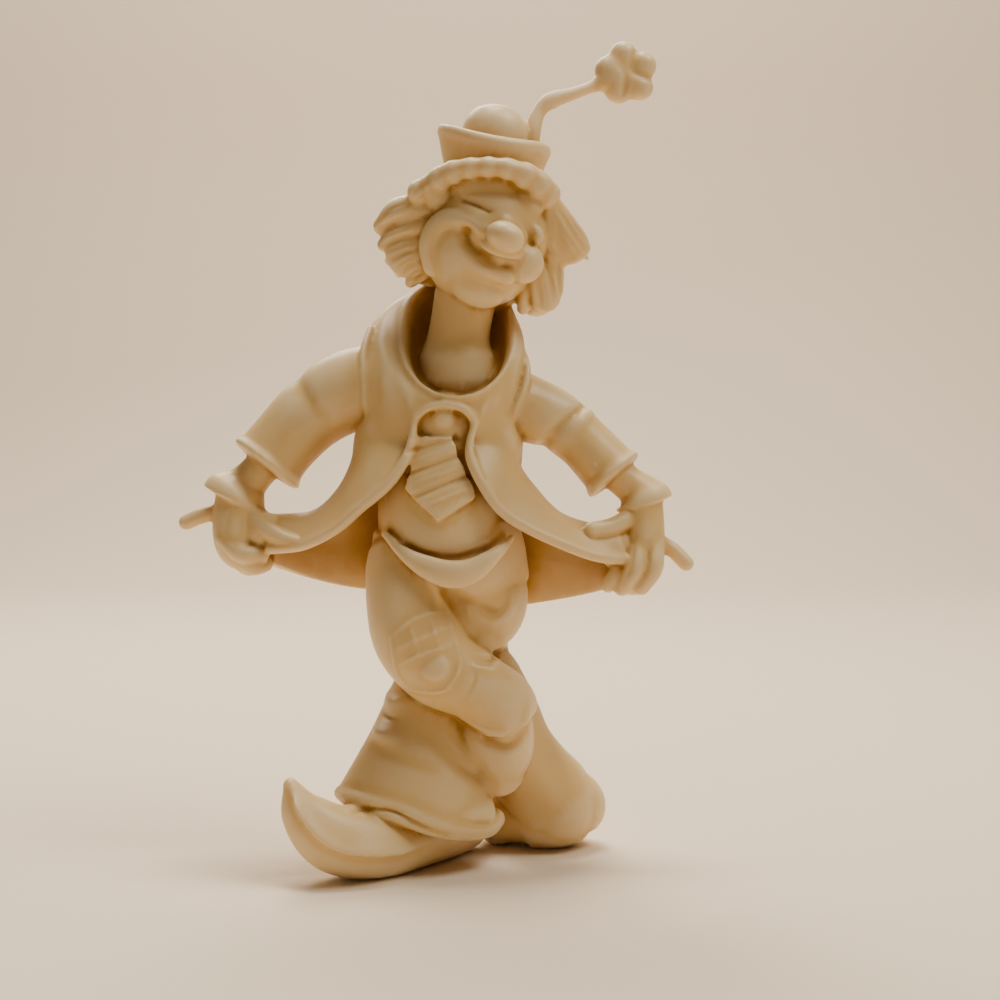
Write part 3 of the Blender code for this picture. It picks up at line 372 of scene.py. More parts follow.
def coatTailForms():
    # Each tail hangs from its front edge over the top and down behind, to the hem.
    wall = share(cast["coatWall"])
    leftRidge = [(-9.4, -1.2, 57.5), (-10.4, -0.6, 51.0), (-11.0, -0.4, 47.2), (-12.9, 0.0, 43.6),
                  (-16.0, 0.0, 41.0), (-20.8, -0.8, 40.6)]
    leftRim = [leftFront[3], *leftFront[5:]]
    leftHem = [(0.0, 8.6, 30.6), (-4.5, 8.0, 31.0), (-8.6, 6.2, 31.6), (-12.5, 4.4, 32.2), (-17.0, 2.6, 33.4),
                (-21.4, 0.2, 35.2)]
    rightRidge = [(8.4, -1.2, 56.5), (8.0, -0.8, 50.0), (7.8, -0.6, 47.0), (9.6, -0.2, 44.2),
                   (13.2, 0.0, 40.6), (19.6, -0.8, 38.8)]
    rightRim = [rightFront[3], *rightFront[5:9], rightFront[10]]
    rightHem = [(0.0, 8.6, 30.6), (4.5, 8.0, 30.2), (8.4, 6.4, 29.9), (12.6, 4.6, 30.6), (17.0, 2.8, 31.6),
                 (20.8, 0.4, 32.8)]
    forms = []
    for rim, ridge, hem in ((leftRim, leftRidge, leftHem), (rightRim, rightRidge, rightHem)):
        rim, ridge, hem = (np.array(curve) for curve in (rim, ridge, hem))
        inward = -0.1 * np.sign(rim[-1, 0])
        rim[0] += [6 * inward, 2.2, 0]
        ridge[0] += [14 * inward, 1.2, 0]
        proud = np.clip(np.arange(6) / 2, 0, 1)[:, None]
        lip = 0.45 * rim + 0.55 * ridge + proud * [0, -0.8, 0.6]
        back = 0.55 * ridge + 0.45 * hem + [0, 1.6, 0.6]
        grid = loft([rim, lip, ridge, back, hem], 6, 5)
        forms.append(sheet(grid, wall))
    back = [(-0.6, 2.4, 54, 8.6, 4.6), (-0.6, 2.8, 46, 8.2, 5.2), (-0.2, 3.8, 38, 7.8, 5.2),
            (0.0, 4.4, 31.4, 8.0, 5.0)]
    return [*forms, limb(back, around=48, startRound=0.5, endRound=0.15)]


def armForms():
    # Wide sleeves with a turned edge, flared gloves, fists, thumbs and the little fingers.
    def creases(along, around):
        # A bell-shaped dip near the middle of the sleeve, strongest at one side.
        return -0.35 * np.exp(-(((along - 0.45) / 0.05) ** 2)) * np.clip(np.sin(around + 0.6), 0, 1)

    finger = share(cast["fingerRadius"])
    bead = share(cast["hemBead"])
    forms = []
    left = [(-8.0, 0.9, 56.8, 5.0, 4.2), (-12.4, 1.0, 55.8, 4.9, 4.4), (-16.4, 1.2, 53.4, 4.5, 4.4),
            (-19.8, 0.8, 49.9, 4.2, 4.2), (-21.8, 0.3, 47.3, 4.3, 4.2)]
    right = [(6.0, 0.9, 55.0, 4.4, 4.2), (9.4, 0.9, 53.8, 4.0, 4.1), (12.4, 1.0, 52.6, 3.7, 4.0),
             (15.6, 1.0, 50.2, 3.3, 3.8), (18.1, 0.6, 47.6, 3.4, 3.7), (19.5, 0.3, 46.0, 3.5, 3.7)]
    leftHand = {
        "wrist": [(-21.6, 0.2, 47.8, 2.2, 2.2), (-23.2, 0.0, 46.0, 2.2, 2.2), (-24.3, 0.0, 44.8, 2.6, 2.5),
                  (-25.2, -0.1, 43.7, 3.9, 3.5), (-25.5, -0.1, 43.1, 4.2, 3.7)],
        "fist": [(-25.0, -0.1, 43.4, 2.9, 2.9), (-25.1, -0.5, 40.4, 3.1, 3.2), (-24.8, -0.7, 37.8, 3.0, 3.1),
                 (-23.6, -0.6, 36.2, 2.3, 2.5)],
        "palm": ball((-21.8, -1.8, 39.4), (2.6, 2.2, 2.2)),
        "fingers": [
            [(-26.4, -2.4, 38.4, 1.1, 1.1), (-24.2, -3.4, 36.8, 1.2, 1.2), (-22.2, -2.8, 36.7, 1.1, 1.1)],
            [(-25.2, -1.4, 36.8, 1.1, 1.1), (-23.2, -2.4, 35.4, 1.2, 1.2), (-21.9, -1.4, 35.4, 1.0, 1.1)],
        ],
        "thumb": [(-23.8, -1.8, 41.2, 1.3, 1.3), (-21.6, -3.0, 39.7, 1.25, 1.3),
                  (-19.4, -4.0, 38.7, 1.0, 1.1), (-17.6, -4.7, 38.3, 0.7, 0.8)],
        "little": [(-27.2, 0.0, 41.6, finger, finger), (-29.8, 0.0, 41.0, finger, finger),
                   (-31.4, 0.0, 40.3, finger, finger)],
    }
    rightHand = {
        "wrist": [(19.2, 0.2, 46.8, 2.2, 2.2), (21.2, 0.0, 45.0, 2.1, 2.2), (22.3, 0.0, 44.2, 2.4, 2.4),
                  (23.0, -0.1, 43.2, 3.3, 3.0), (23.2, -0.1, 42.6, 3.5, 3.2)],
        "fist": [(22.9, -0.2, 42.8, 2.5, 2.7), (23.1, -0.5, 38.8, 2.5, 3.0), (22.8, -0.7, 35.6, 2.5, 2.9),
                 (21.8, -0.6, 33.6, 2.0, 2.3)],
        "palm": ball((20.0, -1.4, 37.2), (2.2, 2.0, 2.6)),
        "fingers": [
            [(24.2, -2.2, 38.0, 1.1, 1.1), (24.0, -3.2, 35.2, 1.2, 1.2), (22.6, -2.6, 32.9, 1.1, 1.1)],
            [(22.4, -2.4, 37.8, 1.1, 1.1), (21.8, -3.4, 35.0, 1.2, 1.2), (20.4, -2.4, 32.8, 1.1, 1.1)],
            [(20.6, -1.2, 36.0, 1.1, 1.1), (19.8, -2.2, 34.0, 1.2, 1.2), (18.9, -1.2, 33.0, 1.0, 1.1)],
        ],
        "thumb": [(21.6, -1.6, 41.0, 1.2, 1.2), (19.2, -2.8, 39.9, 1.1, 1.1), (16.8, -3.8, 39.6, 1.0, 1.0)],
        "little": [(24.8, 0.0, 38.0, finger, finger), (26.6, 0.0, 37.0, finger, finger),
                   (28.2, 0.0, 35.4, finger, finger)],
    }
    for sleeve, hand in ((left, leftHand), (right, rightHand)):
        forms.append(limb(sleeve, endRound=0.0, relief=creases))
        last, before = np.array(sleeve[-1]), np.array(sleeve[-2])
        way = unit(last[:3] - before[:3])
        flare = last[3:] + 0.6 * bead
        forms.append(limb([(*(last[:3] - 0.8 * way), *(flare - 0.4)), (*last[:3], *flare),
                           (*(last[:3] + 0.3 * way), *(flare - 0.2))], 4, startRound=0.2, endRound=0.1))
        forms.append(limb(hand["wrist"], endRound=0.12))
        forms.append(limb(hand["fist"]))
        forms.append(hand["palm"])
        forms.append(limb(hand["thumb"], 4))
        forms.append(limb(hand["little"], 4))
        forms.extend(limb(rows, 4) for rows in hand["fingers"])
    return forms


def trouserForms():
    # Baggy trousers that sag from the waist, one leg crossed in front of the other.
    def backFolds(along, turned):
        # Waves along one side of the leg, as the square of the sine, that fade towards the hem.
        return 0.4 * np.cos(along * 2 * math.pi * 3.4) * np.clip(-np.sin(turned), 0, 1) ** 2 * (1 - along)

    return [
        limb([(-0.6, 0.2, 40, 8.6, 7.6), (-0.2, 0.4, 36.4, 9.3, 8.0), (0.1, 1.0, 32, 9.4, 7.2),
              (1.2, 1.2, 28, 7.5, 6.6), (2.4, 1.2, 25.2, 5.2, 5.8)], startRound=0.2, endRound=0.5),
        ball((4.9, -0.1, 31.0), (4.4, 4.8, 6.0), (0, 8, 0)),
        limb([(-7.4, -5.6, 39.3, 0.4, 0.5), (-5.0, -7.8, 37.2, 0.8, 0.8), (-2.6, -9.0, 35.8, 1.3, 0.9),
              (0.4, -9.6, 34.9, 1.6, 1.0), (3.0, -9.2, 35.4, 1.4, 0.9), (5.6, -7.8, 37.2, 0.8, 0.8),
              (7.3, -5.8, 38.8, 0.4, 0.5)]),
        limb([(-4.7, -1.6, 35.0, 5.2, 5.8), (-4.5, -3.0, 31.0, 5.2, 6.2), (-3.4, -4.2, 27.2, 5.4, 6.0),
              (-0.9, -4.7, 23.9, 4.9, 5.6), (3.2, -4.6, 21.4, 4.1, 5.0), (5.8, -4.0, 19.2, 4.3, 4.9),
              (6.4, -3.6, 17.8, 4.2, 4.8)], endRound=0.12),
        limb([(4.0, -1.4, 20.0, 4.2, 4.0), (5.0, -1.8, 16.4, 4.8, 4.6), (5.6, -1.8, 13.4, 4.4, 4.6),
              (5.6, -1.6, 10.6, 3.2, 3.8)], endRound=0.8),
        limb([(4.6, 0.2, 21.6, 4.0, 4.4), (6.4, 1.8, 17.2, 4.3, 4.8), (7.9, 3.4, 13.0, 4.5, 5.2),
              (9.8, 5.2, 9.4, 5.0, 5.6), (11.8, 6.6, 6.4, 5.6, 5.8)], endRound=0.8),
        limb([(1.4, 1.8, 25.4, 5.4, 5.0), (-0.9, 0.8, 20.6, 5.6, 5.2), (-2.2, -0.6, 16.2, 6.3, 5.6),
              (-3.0, -1.8, 12.2, 7.6, 6.2), (-3.6, -2.6, 8.8, 8.9, 6.6), (-4.0, -2.8, 6.6, 9.4, 6.8)],
             8, 40, endRound=0.1, relief=backFolds),
        limb([(-3.6, -4.4, 8.6, 2.2, 4.4), (0.6, -4.0, 7.2, 2.4, 4.4), (3.6, -2.8, 6.8, 2.2, 3.8)],
             endRound=0.6),
        limb([(-12.6, -3.2, 8.7, 0.9, 0.9), (-11.2, -6.0, 8.7, 1.1, 1.1), (-8.8, -7.9, 8.4, 1.3, 1.2),
              (-5.5, -8.7, 7.7, 1.4, 1.3), (-1.8, -8.3, 6.4, 1.5, 1.4), (1.4, -6.9, 5.5, 1.5, 1.4),
              (4.2, -4.6, 5.2, 1.5, 1.4), (5.4, -2.8, 5.6, 1.3, 1.2)]),
        ball((-1.2, -9.3, 24.2), (2.0, 1.5, 1.9)),
    ]


def shoeForms():
    # Long soft shoes, turned out: one with its toe curled up and a ridge along its side, one blunt.
    def ridge(along, turned):
        # A bell-shaped ridge close to the front, from a third of the shoe's length to its toe.
        side = np.clip((along - 0.3) / 0.2, 0, 1) * np.clip((1 - along) / 0.1, 0.3, 1)
        return 1.0 * side * np.exp(-(((turned + 0.15) / 0.42) ** 2))

    return [
        limb([(0.4, 5.4, 3.1, 3.4, 4.4), (-3.6, -0.4, 3.6, 4.0, 5.0), (-8.4, -6.4, 3.7, 4.1, 4.6),
              (-13.0, -9.4, 5.0, 3.9, 3.6), (-16.2, -10.4, 8.0, 2.7, 2.2), (-17.7, -10.6, 11.2, 0.9, 0.8)],
             8, 40, relief=ridge),
        limb([(6.0, 8.6, 3.0, 3.2, 4.0), (9.0, 8.2, 4.4, 4.75, 5.4), (12.4, 7.6, 4.6, 5.0, 5.8),
              (14.8, 7.2, 5.0, 4.6, 4.9), (15.9, 7.0, 5.3, 3.8, 3.9)], 6, endRound=0.82),
        ball((12.8, 6.8, 5.6), (5.5, 5.9, 5.0), (0, 20, 0)),
    ]


def carving():
    # Grooves as seen from the front, each point an x, a z, a half width and a depth:
    # eyes shut with laughing, the smile, the creases of the trousers and the tie's stripes.
    return [
        [(1.8, 77.9, 0.4, 0.4), (3.3, 77.3, 0.45, 0.6), (4.7, 76.5, 0.4, 0.4)],
        [(8.9, 75.0, 0.5, 0.2), (9.5, 74.0, 0.6, 0.35), (9.7, 73.0, 0.6, 0.3)],
        [(1.9, 73.9, 0.9, 1.1), (2.3, 72.9, 0.9, 1.2), (3.4, 71.7, 0.7, 1.0), (4.9, 70.9, 0.6, 0.8),
         (6.8, 70.5, 0.5, 0.6), (8.0, 70.6, 0.4, 0.3)],
        [(0.0, 32.6, 1.1, 0.4), (1.8, 30.4, 1.2, 0.5), (3.6, 27.6, 1.0, 0.3)],
        [(-10.4, 8.0, 0.5, 0.2), (-8.9, 8.2, 0.5, 0.4), (-6.2, 8.1, 0.5, 0.5), (-3.7, 6.8, 0.5, 0.4),
         (-0.3, 5.1, 0.5, 0.2)],
        [(-4.4, 48.9, 0.4, 0.25), (-1.2, 49.9, 0.4, 0.3), (0.9, 50.4, 0.4, 0.25)],
        [(-4.6, 46.3, 0.4, 0.3), (-1.0, 47.6, 0.4, 0.35), (1.8, 48.6, 0.4, 0.3)],
        [(-4.0, 43.6, 0.4, 0.3), (-0.6, 45.0, 0.4, 0.35), (2.6, 46.2, 0.4, 0.3)],
    ]


def joined(name, forms):
    # One object from closed forms that overlap, still in hundredths.
    points, faces, count = [], [], 0
    for formPoints, formFaces in forms:
        points.append(formPoints)
        faces.extend([[count + i for i in face] for face in formFaces])
        count += len(formPoints)
    mesh = bpy.data.meshes.new(name)
    mesh.from_pydata(np.vstack(points).tolist(), [], faces)
    piece = bpy.data.objects.new(name, mesh)
    bpy.context.scene.collection.objects.link(piece)
    return piece


def applied(piece):
    # The mesh becomes what the modifiers show.
    graph = bpy.context.evaluated_depsgraph_get()
    mesh = bpy.data.meshes.new_from_object(piece.evaluated_get(graph))
    piece.modifiers.clear()
    piece.data = mesh


def fused(name, forms, grain, rounds):
    # Blocks of the grain's size fill the forms, their outside becomes one skin, and smoothing rounds it.
    piece = joined(name, forms)
    remesh = piece.modifiers.new("fuse", "REMESH")
    remesh.mode = "VOXEL"
    remesh.voxel_size = share(grain)
    smooth = piece.modifiers.new("round", "SMOOTH")
    smooth.factor, smooth.iterations = 0.5, rounds
    applied(piece)
    return piece


def rowsOf(items, name, width, kind=np.float32):
    # One row of numbers for each point, edge or triangle of a mesh.
    rows = np.empty(len(items) * width, kind)
    items.foreach_get(name, rows)
    return rows.reshape(-1, width)


def readPoints(mesh):
    return rowsOf(mesh.vertices, "co", 3).astype(float)


def readNormals(mesh):
    return rowsOf(mesh.vertex_normals, "vector", 3).astype(float)


def writePoints(mesh, points):
    # The mesh takes these places for its points.
    mesh.vertices.foreach_set("co", points.astype(np.float32).ravel())
    mesh.update()


# Where one form runs softly into the next: a place, and how far around it the skin is evened out
softPlaces = [
    (-7.0, -4.8, 51.6, 2.6), (5.4, -4.9, 50.6, 2.4), (14.6, 2.4, 8.4, 3.0), (10.4, 1.4, 7.0, 2.4),
    (3.0, -6.6, 12.6, 2.0), (4.6, -5.6, 10.0, 1.8), (5.6, -5.2, 29.4, 2.6), (2.6, -6.8, 68.0, 1.8),
    (8.6, -6.6, 75.6, 1.4), (4.4, -6.9, 75.4, 1.2), (21.6, 4.6, 95.2, 2.6), (17.6, 6.0, 7.6, 1.8),
]
leastShare = 0.02  # points with a smaller share of smoothing are left out


def soften(piece, places, rounds):
    # A point's share of smoothing is exp(-(distance / reach)^2), the largest that any place gives it.
    points = readPoints(piece.data)
    weight = np.zeros(len(points))
    for x, y, z, reach in places:
        away = np.linalg.norm(points - [x, y, z], axis=1)
        weight = np.maximum(weight, np.exp(-((away / reach) ** 2)))
    group = piece.vertex_groups.new(name="soft")
    for index in np.nonzero(weight > leastShare)[0].tolist():
        group.add([index], weight[index], "REPLACE")
    smooth = piece.modifiers.new("soften", "SMOOTH")
    smooth.vertex_group, smooth.factor, smooth.iterations = group.name, 0.5, rounds
    applied(piece)
    piece.vertex_groups.clear()


strokeSteps = 14  # points from each given point of a stroke to the next
farInFront = -100  # where the rays that find the skin start, in hundredths


def onSkin(skin, rows):
    # Drops a path that is drawn as seen from the front, x and z, on to the skin behind it.
    track = []
    for x, z, wide, deep in smoothPath(rows, strokeSteps):
        met = skin.ray_cast((x, farInFront, z), (0, 1, 0))[0]
        if met is not None:
            track.append([x, met.y, z, wide, deep])
    return np.array(track)


def grooved(points, skin, strokes):
    # Depth at a point is the largest along the stroke of its depth x exp(-(distance / half width)^2).
    sunk = np.zeros(len(points))
    for rows in strokes:
        track = onSkin(skin, rows)
        reach = 3 * track[:, 3].max()
        near = ((points > track[:, :3].min(0) - reach) & (points < track[:, :3].max(0) + reach)).all(1)
        away = np.linalg.norm(points[near][:, None] - track[None, :, :3], axis=2)
        shape = track[:, 4] * np.exp(-((away / track[:, 3]) ** 2))
        nearest = np.abs(shape).argmax(1)
        sunk[near] += shape[np.arange(len(nearest)), nearest]
    return sunk


def carve(piece, strokes):
    # Every point moves against its normal by the strokes' depth there.
    mesh = piece.data
    skin = BVHTree.FromObject(piece, bpy.context.evaluated_depsgraph_get())
    points = readPoints(mesh)
    writePoints(mesh, points - readNormals(mesh) * grooved(points, skin, strokes)[:, None])


def thinned(piece, most):
    # Fewer faces, most of all where the skin is plain.
    piece.data.calc_loop_triangles()
    fewer = piece.modifiers.new("fewer", "DECIMATE")
    fewer.ratio = min(1.0, most / len(piece.data.loop_triangles))
    fewer.use_collapse_triangulate = True
    applied(piece)


def averaged(values, edges, rounds):
    # Each round moves every value half way to the mean of its neighbours.
    here, there = np.concatenate([edges, edges[:, ::-1]]).T
    number = np.maximum(np.bincount(here, minlength=len(values)), 1)
    columns = []
    for column in values.reshape(len(values), -1).T.astype(float):
        for _ in range(rounds):
            mean = np.bincount(here, column[there], len(column)) / number
            column = 0.5 * (column + mean)
        columns.append(column)
    return np.stack(columns, -1).reshape(values.shape)


# How the hollows are found, in hundredths of the height
looking = {
    "seed": 7,
    "rays": 10,  # from each point
    "reach": 12.0,  # how far a ray looks
    "lift": 0.06,  # how far off the skin it starts
    "outward": 1.05,  # pulls the rays towards the skin's normal
    "shadeRounds": 10,  # passes that even out the shade
    "nearRounds": 3,  # the average that small hollows are measured from
    "nearDepth": 0.05,  # a small hollow that counts in full
    "wideRounds": 40,  # the average that broad hollows are measured from
    "wideDepth": 0.5,  # a broad hollow that counts in full
    "hollowRounds": 2,  # passes that even out the hollows
}


def lowness(points, normals, edges, rounds, depth):
    # How far a point lies under the average around it, along its normal, as a share of depth from -1 to 1.
    under = ((averaged(points, edges, rounds) - points) * normals).sum(1)
    return np.clip(under / depth, -1, 1)


def storeHollows(piece):
    # hollow is the mean of the small and the broad lowness.
    # shade is the share of a point's rays that meet the figure nearby.
    mesh = piece.data
    mesh.calc_loop_triangles()
    triangles = rowsOf(mesh.loop_triangles, "vertices", 3, np.int32)
    edges = rowsOf(mesh.edges, "vertices", 2, np.int32)
    points, normals = readPoints(mesh), readNormals(mesh)
    tree = BVHTree.FromPolygons(points.tolist(), triangles.tolist(), all_triangles=True)
    rays = unit(np.random.default_rng(looking["seed"]).normal(size=(len(points), looking["rays"], 3)))
    rays = unit(rays + normals[:, None] * looking["outward"])
    starts = points + normals * looking["lift"]
    met = np.zeros(len(points))
    for k, (start, ways) in enumerate(zip(starts.tolist(), rays.tolist())):
        met[k] = sum(tree.ray_cast(start, way, looking["reach"])[0] is not None for way in ways)
    shade = averaged(met / looking["rays"], edges, looking["shadeRounds"])
    near = lowness(points, normals, edges, looking["nearRounds"], looking["nearDepth"])
    wide = lowness(points, normals, edges, looking["wideRounds"], looking["wideDepth"])
    hollow = averaged(near * 0.5 + wide * 0.5, edges, looking["hollowRounds"])
    for name, values in (("hollow", hollow), ("shade", shade)):
        attribute = mesh.attributes.new(name, "FLOAT", "POINT")
        attribute.data.foreach_set("value", values.astype(np.float32))


relief = {
    "strand": 0.26,  # how deep the grooves between strands of hair are, in hundredths of the height
    "stitch": 0.13,  # how proud the patch's lines are
    "fold": 1.0,  # 0 leaves out the small folds of the clothes
}


def path(rows, wide, deep):
    # One stroke of even width. Its depth at both ends is a third of the depth between.
    last = len(rows) - 1
    return [(x, z, wide, deep * (0.35 if at in (0, last) else 1.0)) for at, (x, z) in enumerate(rows)]


def strands():
    # Grooves between the locks, finer ones along them, and the lobes of the fringe, as seen from the front.
    deep = relief["strand"]
    left = [
        [(-4.4, 76.4), (-6.6, 75.5), (-8.6, 74.9)], [(-4.2, 74.0), (-5.6, 73.9), (-7.9, 73.2)],
        [(-4.0, 72.5), (-5.2, 72.2), (-7.1, 71.3)], [(-3.6, 71.0), (-4.5, 70.6), (-5.6, 69.5)],
        [(-2.9, 69.6), (-3.6, 69.3), (-4.4, 68.6)],
    ]
    right = [
        [(12.3, 78.2), (14.3, 75.0), (16.2, 72.6)], [(12.3, 76.0), (13.4, 73.6), (14.8, 71.4)],
        [(11.2, 71.6), (12.0, 68.6), (12.5, 66.0)], [(10.4, 69.6), (10.8, 67.2), (11.0, 65.3)],
        [(12.9, 71.0), (13.1, 68.6), (13.4, 66.6)], [(9.4, 68.6), (9.5, 66.8), (9.5, 65.2)],
    ]
    fine = [
        [(-4.4, 77.9), (-6.4, 77.4), (-8.4, 76.0)], [(-4.4, 75.2), (-6.0, 74.6), (-8.2, 74.1)],
        [(-4.2, 73.2), (-5.4, 73.0), (-7.4, 72.3)], [(-3.8, 71.7), (-4.9, 71.3), (-6.3, 70.4)],
        [(-3.3, 70.2), (-4.1, 69.8), (-5.0, 69.0)], [(13.0, 78.0), (15.0, 75.2), (16.6, 73.3)],
        [(12.0, 77.0), (13.9, 74.2), (15.6, 71.7)], [(11.7, 70.4), (12.5, 68.0), (13.0, 66.2)],
        [(10.8, 70.4), (11.4, 67.8), (11.7, 65.6)], [(-1.8, 80.4), (-3.2, 79.6), (-4.4, 78.6)],
        [(-1.2, 79.2), (-2.6, 78.6), (-3.8, 77.9)],
    ]
    lobeTops = [
        (0.6, 82.4, -0.9), (2.2, 83.0, -0.5), (3.9, 83.2, -0.2), (5.5, 83.1, 0.1),
        (7.1, 82.8, 0.3), (8.6, 82.2, 0.6), (10.0, 81.3, 0.9), (-0.9, 81.4, -1.2),
    ]
    lobes = [[(x, z), (x + lean, z - 2.4)] for x, z, lean in lobeTops]
    strokes = [path(rows, 0.42, deep) for rows in left + right]
    strokes += [path(rows, 0.22, 0.5 * deep) for rows in fine]
    return strokes + [path(rows, 0.3, 0.35 * deep) for rows in lobes]


def patchLines():
    # A sewn patch: raised lines across each other, a raised edge and two loose stitches.
    proud = -relief["stitch"]
    across = [
        [(-6.5, 27.7), (-4.2, 29.6), (-2.0, 30.5), (0.0, 30.3)],
        [(-5.8, 26.4), (-3.1, 27.7), (-1.4, 28.3), (0.4, 28.8)],
        [(-5.4, 24.6), (-3.7, 25.6), (-1.4, 26.4), (1.2, 27.0)],
    ]
    along = [
        [(-4.2, 29.4), (-3.7, 27.7), (-3.1, 25.7)], [(-2.0, 30.3), (-1.4, 28.2), (-0.8, 26.5)],
        [(0.0, 30.2), (0.9, 27.2), (1.5, 25.1)],
    ]
    edge = [
        [(-6.5, 27.7), (-6.2, 25.7), (-5.8, 23.7), (-4.5, 21.5)],
        [(-4.5, 21.5), (-2.8, 21.4), (-0.8, 21.6), (0.2, 22.1)],
        [(0.2, 22.1), (1.2, 23.8), (1.5, 25.1)],
    ]
    stitches = [[(-1.1, 20.4), (-1.05, 19.5)], [(0.0, 22.4), (0.5, 22.0)]]
    strokes = [path(rows, 0.26, proud) for rows in across + along]
    return strokes + [path(rows, 0.24, 1.3 * proud) for rows in edge + stitches]


def folds():
    # Creases of the clothes and the flower: points, half width, depth. A raised roll's depth is below 0.
    lines = [
        ([(-2.4, 16.2), (0.3, 13.6), (2.9, 11.5), (5.0, 9.8)], 1.1, 0.4),
        ([(-9.0, 8.2), (-6.2, 8.0), (-3.7, 6.7), (-0.6, 5.2)], 0.28, 0.25),
        ([(-8.4, 14.7), (-5.9, 13.9), (-1.4, 12.4)], 0.9, 0.2),
        ([(-8.0, 18.1), (-7.2, 17.8), (-6.0, 17.7)], 0.5, 0.3),
        ([(-7.4, 19.9), (-6.6, 19.3), (-5.2, 19.2)], 0.9, -0.6),
        ([(-8.5, 16.5), (-7.8, 15.9), (-6.2, 15.6)], 1.0, -0.7),
        ([(1.5, 18.1), (4.3, 17.0), (7.1, 16.4), (8.8, 17.6), (9.5, 19.6)], 0.4, -0.3),
        ([(1.8, 16.8), (4.3, 15.7), (7.1, 15.0), (8.9, 16.2)], 0.7, 0.45),
        ([(3.1, 24.3), (4.9, 23.9), (5.6, 24.5)], 0.3, -0.35),
        ([(3.2, 25.2), (4.9, 24.9), (6.0, 25.2)], 0.5, 0.35),
        ([(2.9, 24.2), (3.2, 22.9), (2.1, 20.7)], 0.25, 0.12),
        ([(1.2, 32.2), (3.2, 31.0), (5.6, 30.2), (7.0, 31.4)], 0.8, 0.35),
        ([(5.4, 28.6), (7.2, 30.6), (8.0, 33.2)], 0.9, -0.25),
        ([(-17.8, 55.3), (-17.2, 54.4)], 1.3, 0.5),
        ([(-14.8, 53.4), (-14.2, 51.6)], 0.9, 0.25),
        ([(12.3, 51.2), (14.2, 52.8), (15.8, 54.0), (16.6, 55.2)], 0.55, 0.5),
        ([(14.6, 51.6), (16.4, 53.2), (17.4, 54.2)], 0.7, -0.3),
        ([(-8.9, 60.4), (-8.4, 56.0), (-8.6, 52.2)], 0.9, 0.25),
        ([(7.4, 58.6), (6.6, 55.2), (6.4, 52.4)], 0.9, 0.25),
        ([(-5.2, 56.6), (-4.3, 54.4), (-3.9, 52.9)], 0.6, -0.2),
        ([(4.7, 55.6), (3.9, 53.4), (3.3, 51.8)], 0.6, -0.2),
        ([(-5.6, 38.4), (-2.6, 37.2), (0.8, 36.8), (4.0, 37.6), (6.2, 39.0)], 0.5, 0.35),
        ([(-4.2, 49.9), (-1.2, 51.0)], 0.22, -0.12),
        ([(-4.6, 47.5), (-1.2, 48.7), (1.2, 49.6)], 0.24, -0.15),
        ([(-4.6, 44.9), (-0.8, 46.3), (2.3, 47.4)], 0.24, -0.15),
        ([(-3.0, 42.5), (0.0, 43.7), (2.8, 44.8)], 0.24, -0.15),
        ([(-25.6, 41.4), (-26.2, 38.6)], 0.4, 0.2),
        ([(21.9, 38.6), (21.3, 35.4), (20.6, 33.4)], 0.3, 0.2),
        ([(23.5, 38.2), (23.3, 35.2), (22.2, 33.2)], 0.3, 0.2),
        ([(20.9, 95.2), (22.0, 95.4)], 1.0, 0.6),
        ([(22.0, 95.6), (22.6, 97.2), (23.0, 98.2)], 0.5, 0.35),
        ([(22.4, 94.8), (24.0, 94.4), (25.2, 94.2)], 0.5, 0.35),
        ([(21.4, 94.6), (21.2, 93.0), (21.0, 91.8)], 0.5, 0.35),
    ]
    return [path(rows, wide, deep * relief["fold"]) for rows, wide, deep in lines]


def flashForms():
    # Slivers of plastic where the halves of the mould met: from, to, half width. Each thins to its tip.
    slivers = [
        ((-9.4, -0.4, 54.0), (-10.9, -0.4, 52.9), 0.5), ((-9.6, -0.2, 52.8), (-10.4, -0.2, 51.8), 0.45),
        ((6.4, -0.2, 51.6), (7.6, -0.2, 50.8), 0.5), ((12.4, 2.4, 90.9), (12.8, 2.4, 90.2), 0.4),
        ((13.3, 2.8, 91.3), (13.6, 2.8, 90.7), 0.35), ((9.0, 0.6, 19.6), (9.6, 0.6, 20.2), 0.4),
        ((10.4, 1.4, 15.9), (11.0, 1.4, 16.5), 0.45), ((-12.0, -2.4, 9.2), (-12.6, -2.6, 9.7), 0.5),
        ((16.0, -0.6, 72.0), (16.5, -0.6, 71.6), 0.4), ((-8.0, -0.6, 74.8), (-8.6, -0.6, 74.7), 0.4),
        ((-6.8, -0.4, 71.2), (-7.3, -0.4, 71.0), 0.4), ((-17.3, -10.5, 11.4), (-17.9, -10.6, 12.0), 0.4),
    ]
    return [limb([(*start, half, half), (*(0.5 * (np.array(start) + end)), 0.8 * half, 0.7 * half),
                  (*end, 0.5 * half, 0.4 * half)], 3) for start, end, half in slivers]


def placed(piece):
    # Hundredths become metres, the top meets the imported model's, and the sides are centred on it.
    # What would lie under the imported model's soles is lifted to them.
    points = readPoints(piece.data) * hundredth
    low, high = np.array(castBox[0]), np.array(castBox[1])
    shift = (low + high) / 2 - (points.min(0) + points.max(0)) / 2
    shift[2] = high[2] - points[:, 2].max()
    points += shift
    points[:, 2] = np.maximum(points[:, 2], low[2])
    writePoints(piece.data, points)
    piece.data.shade_smooth()
    return shift


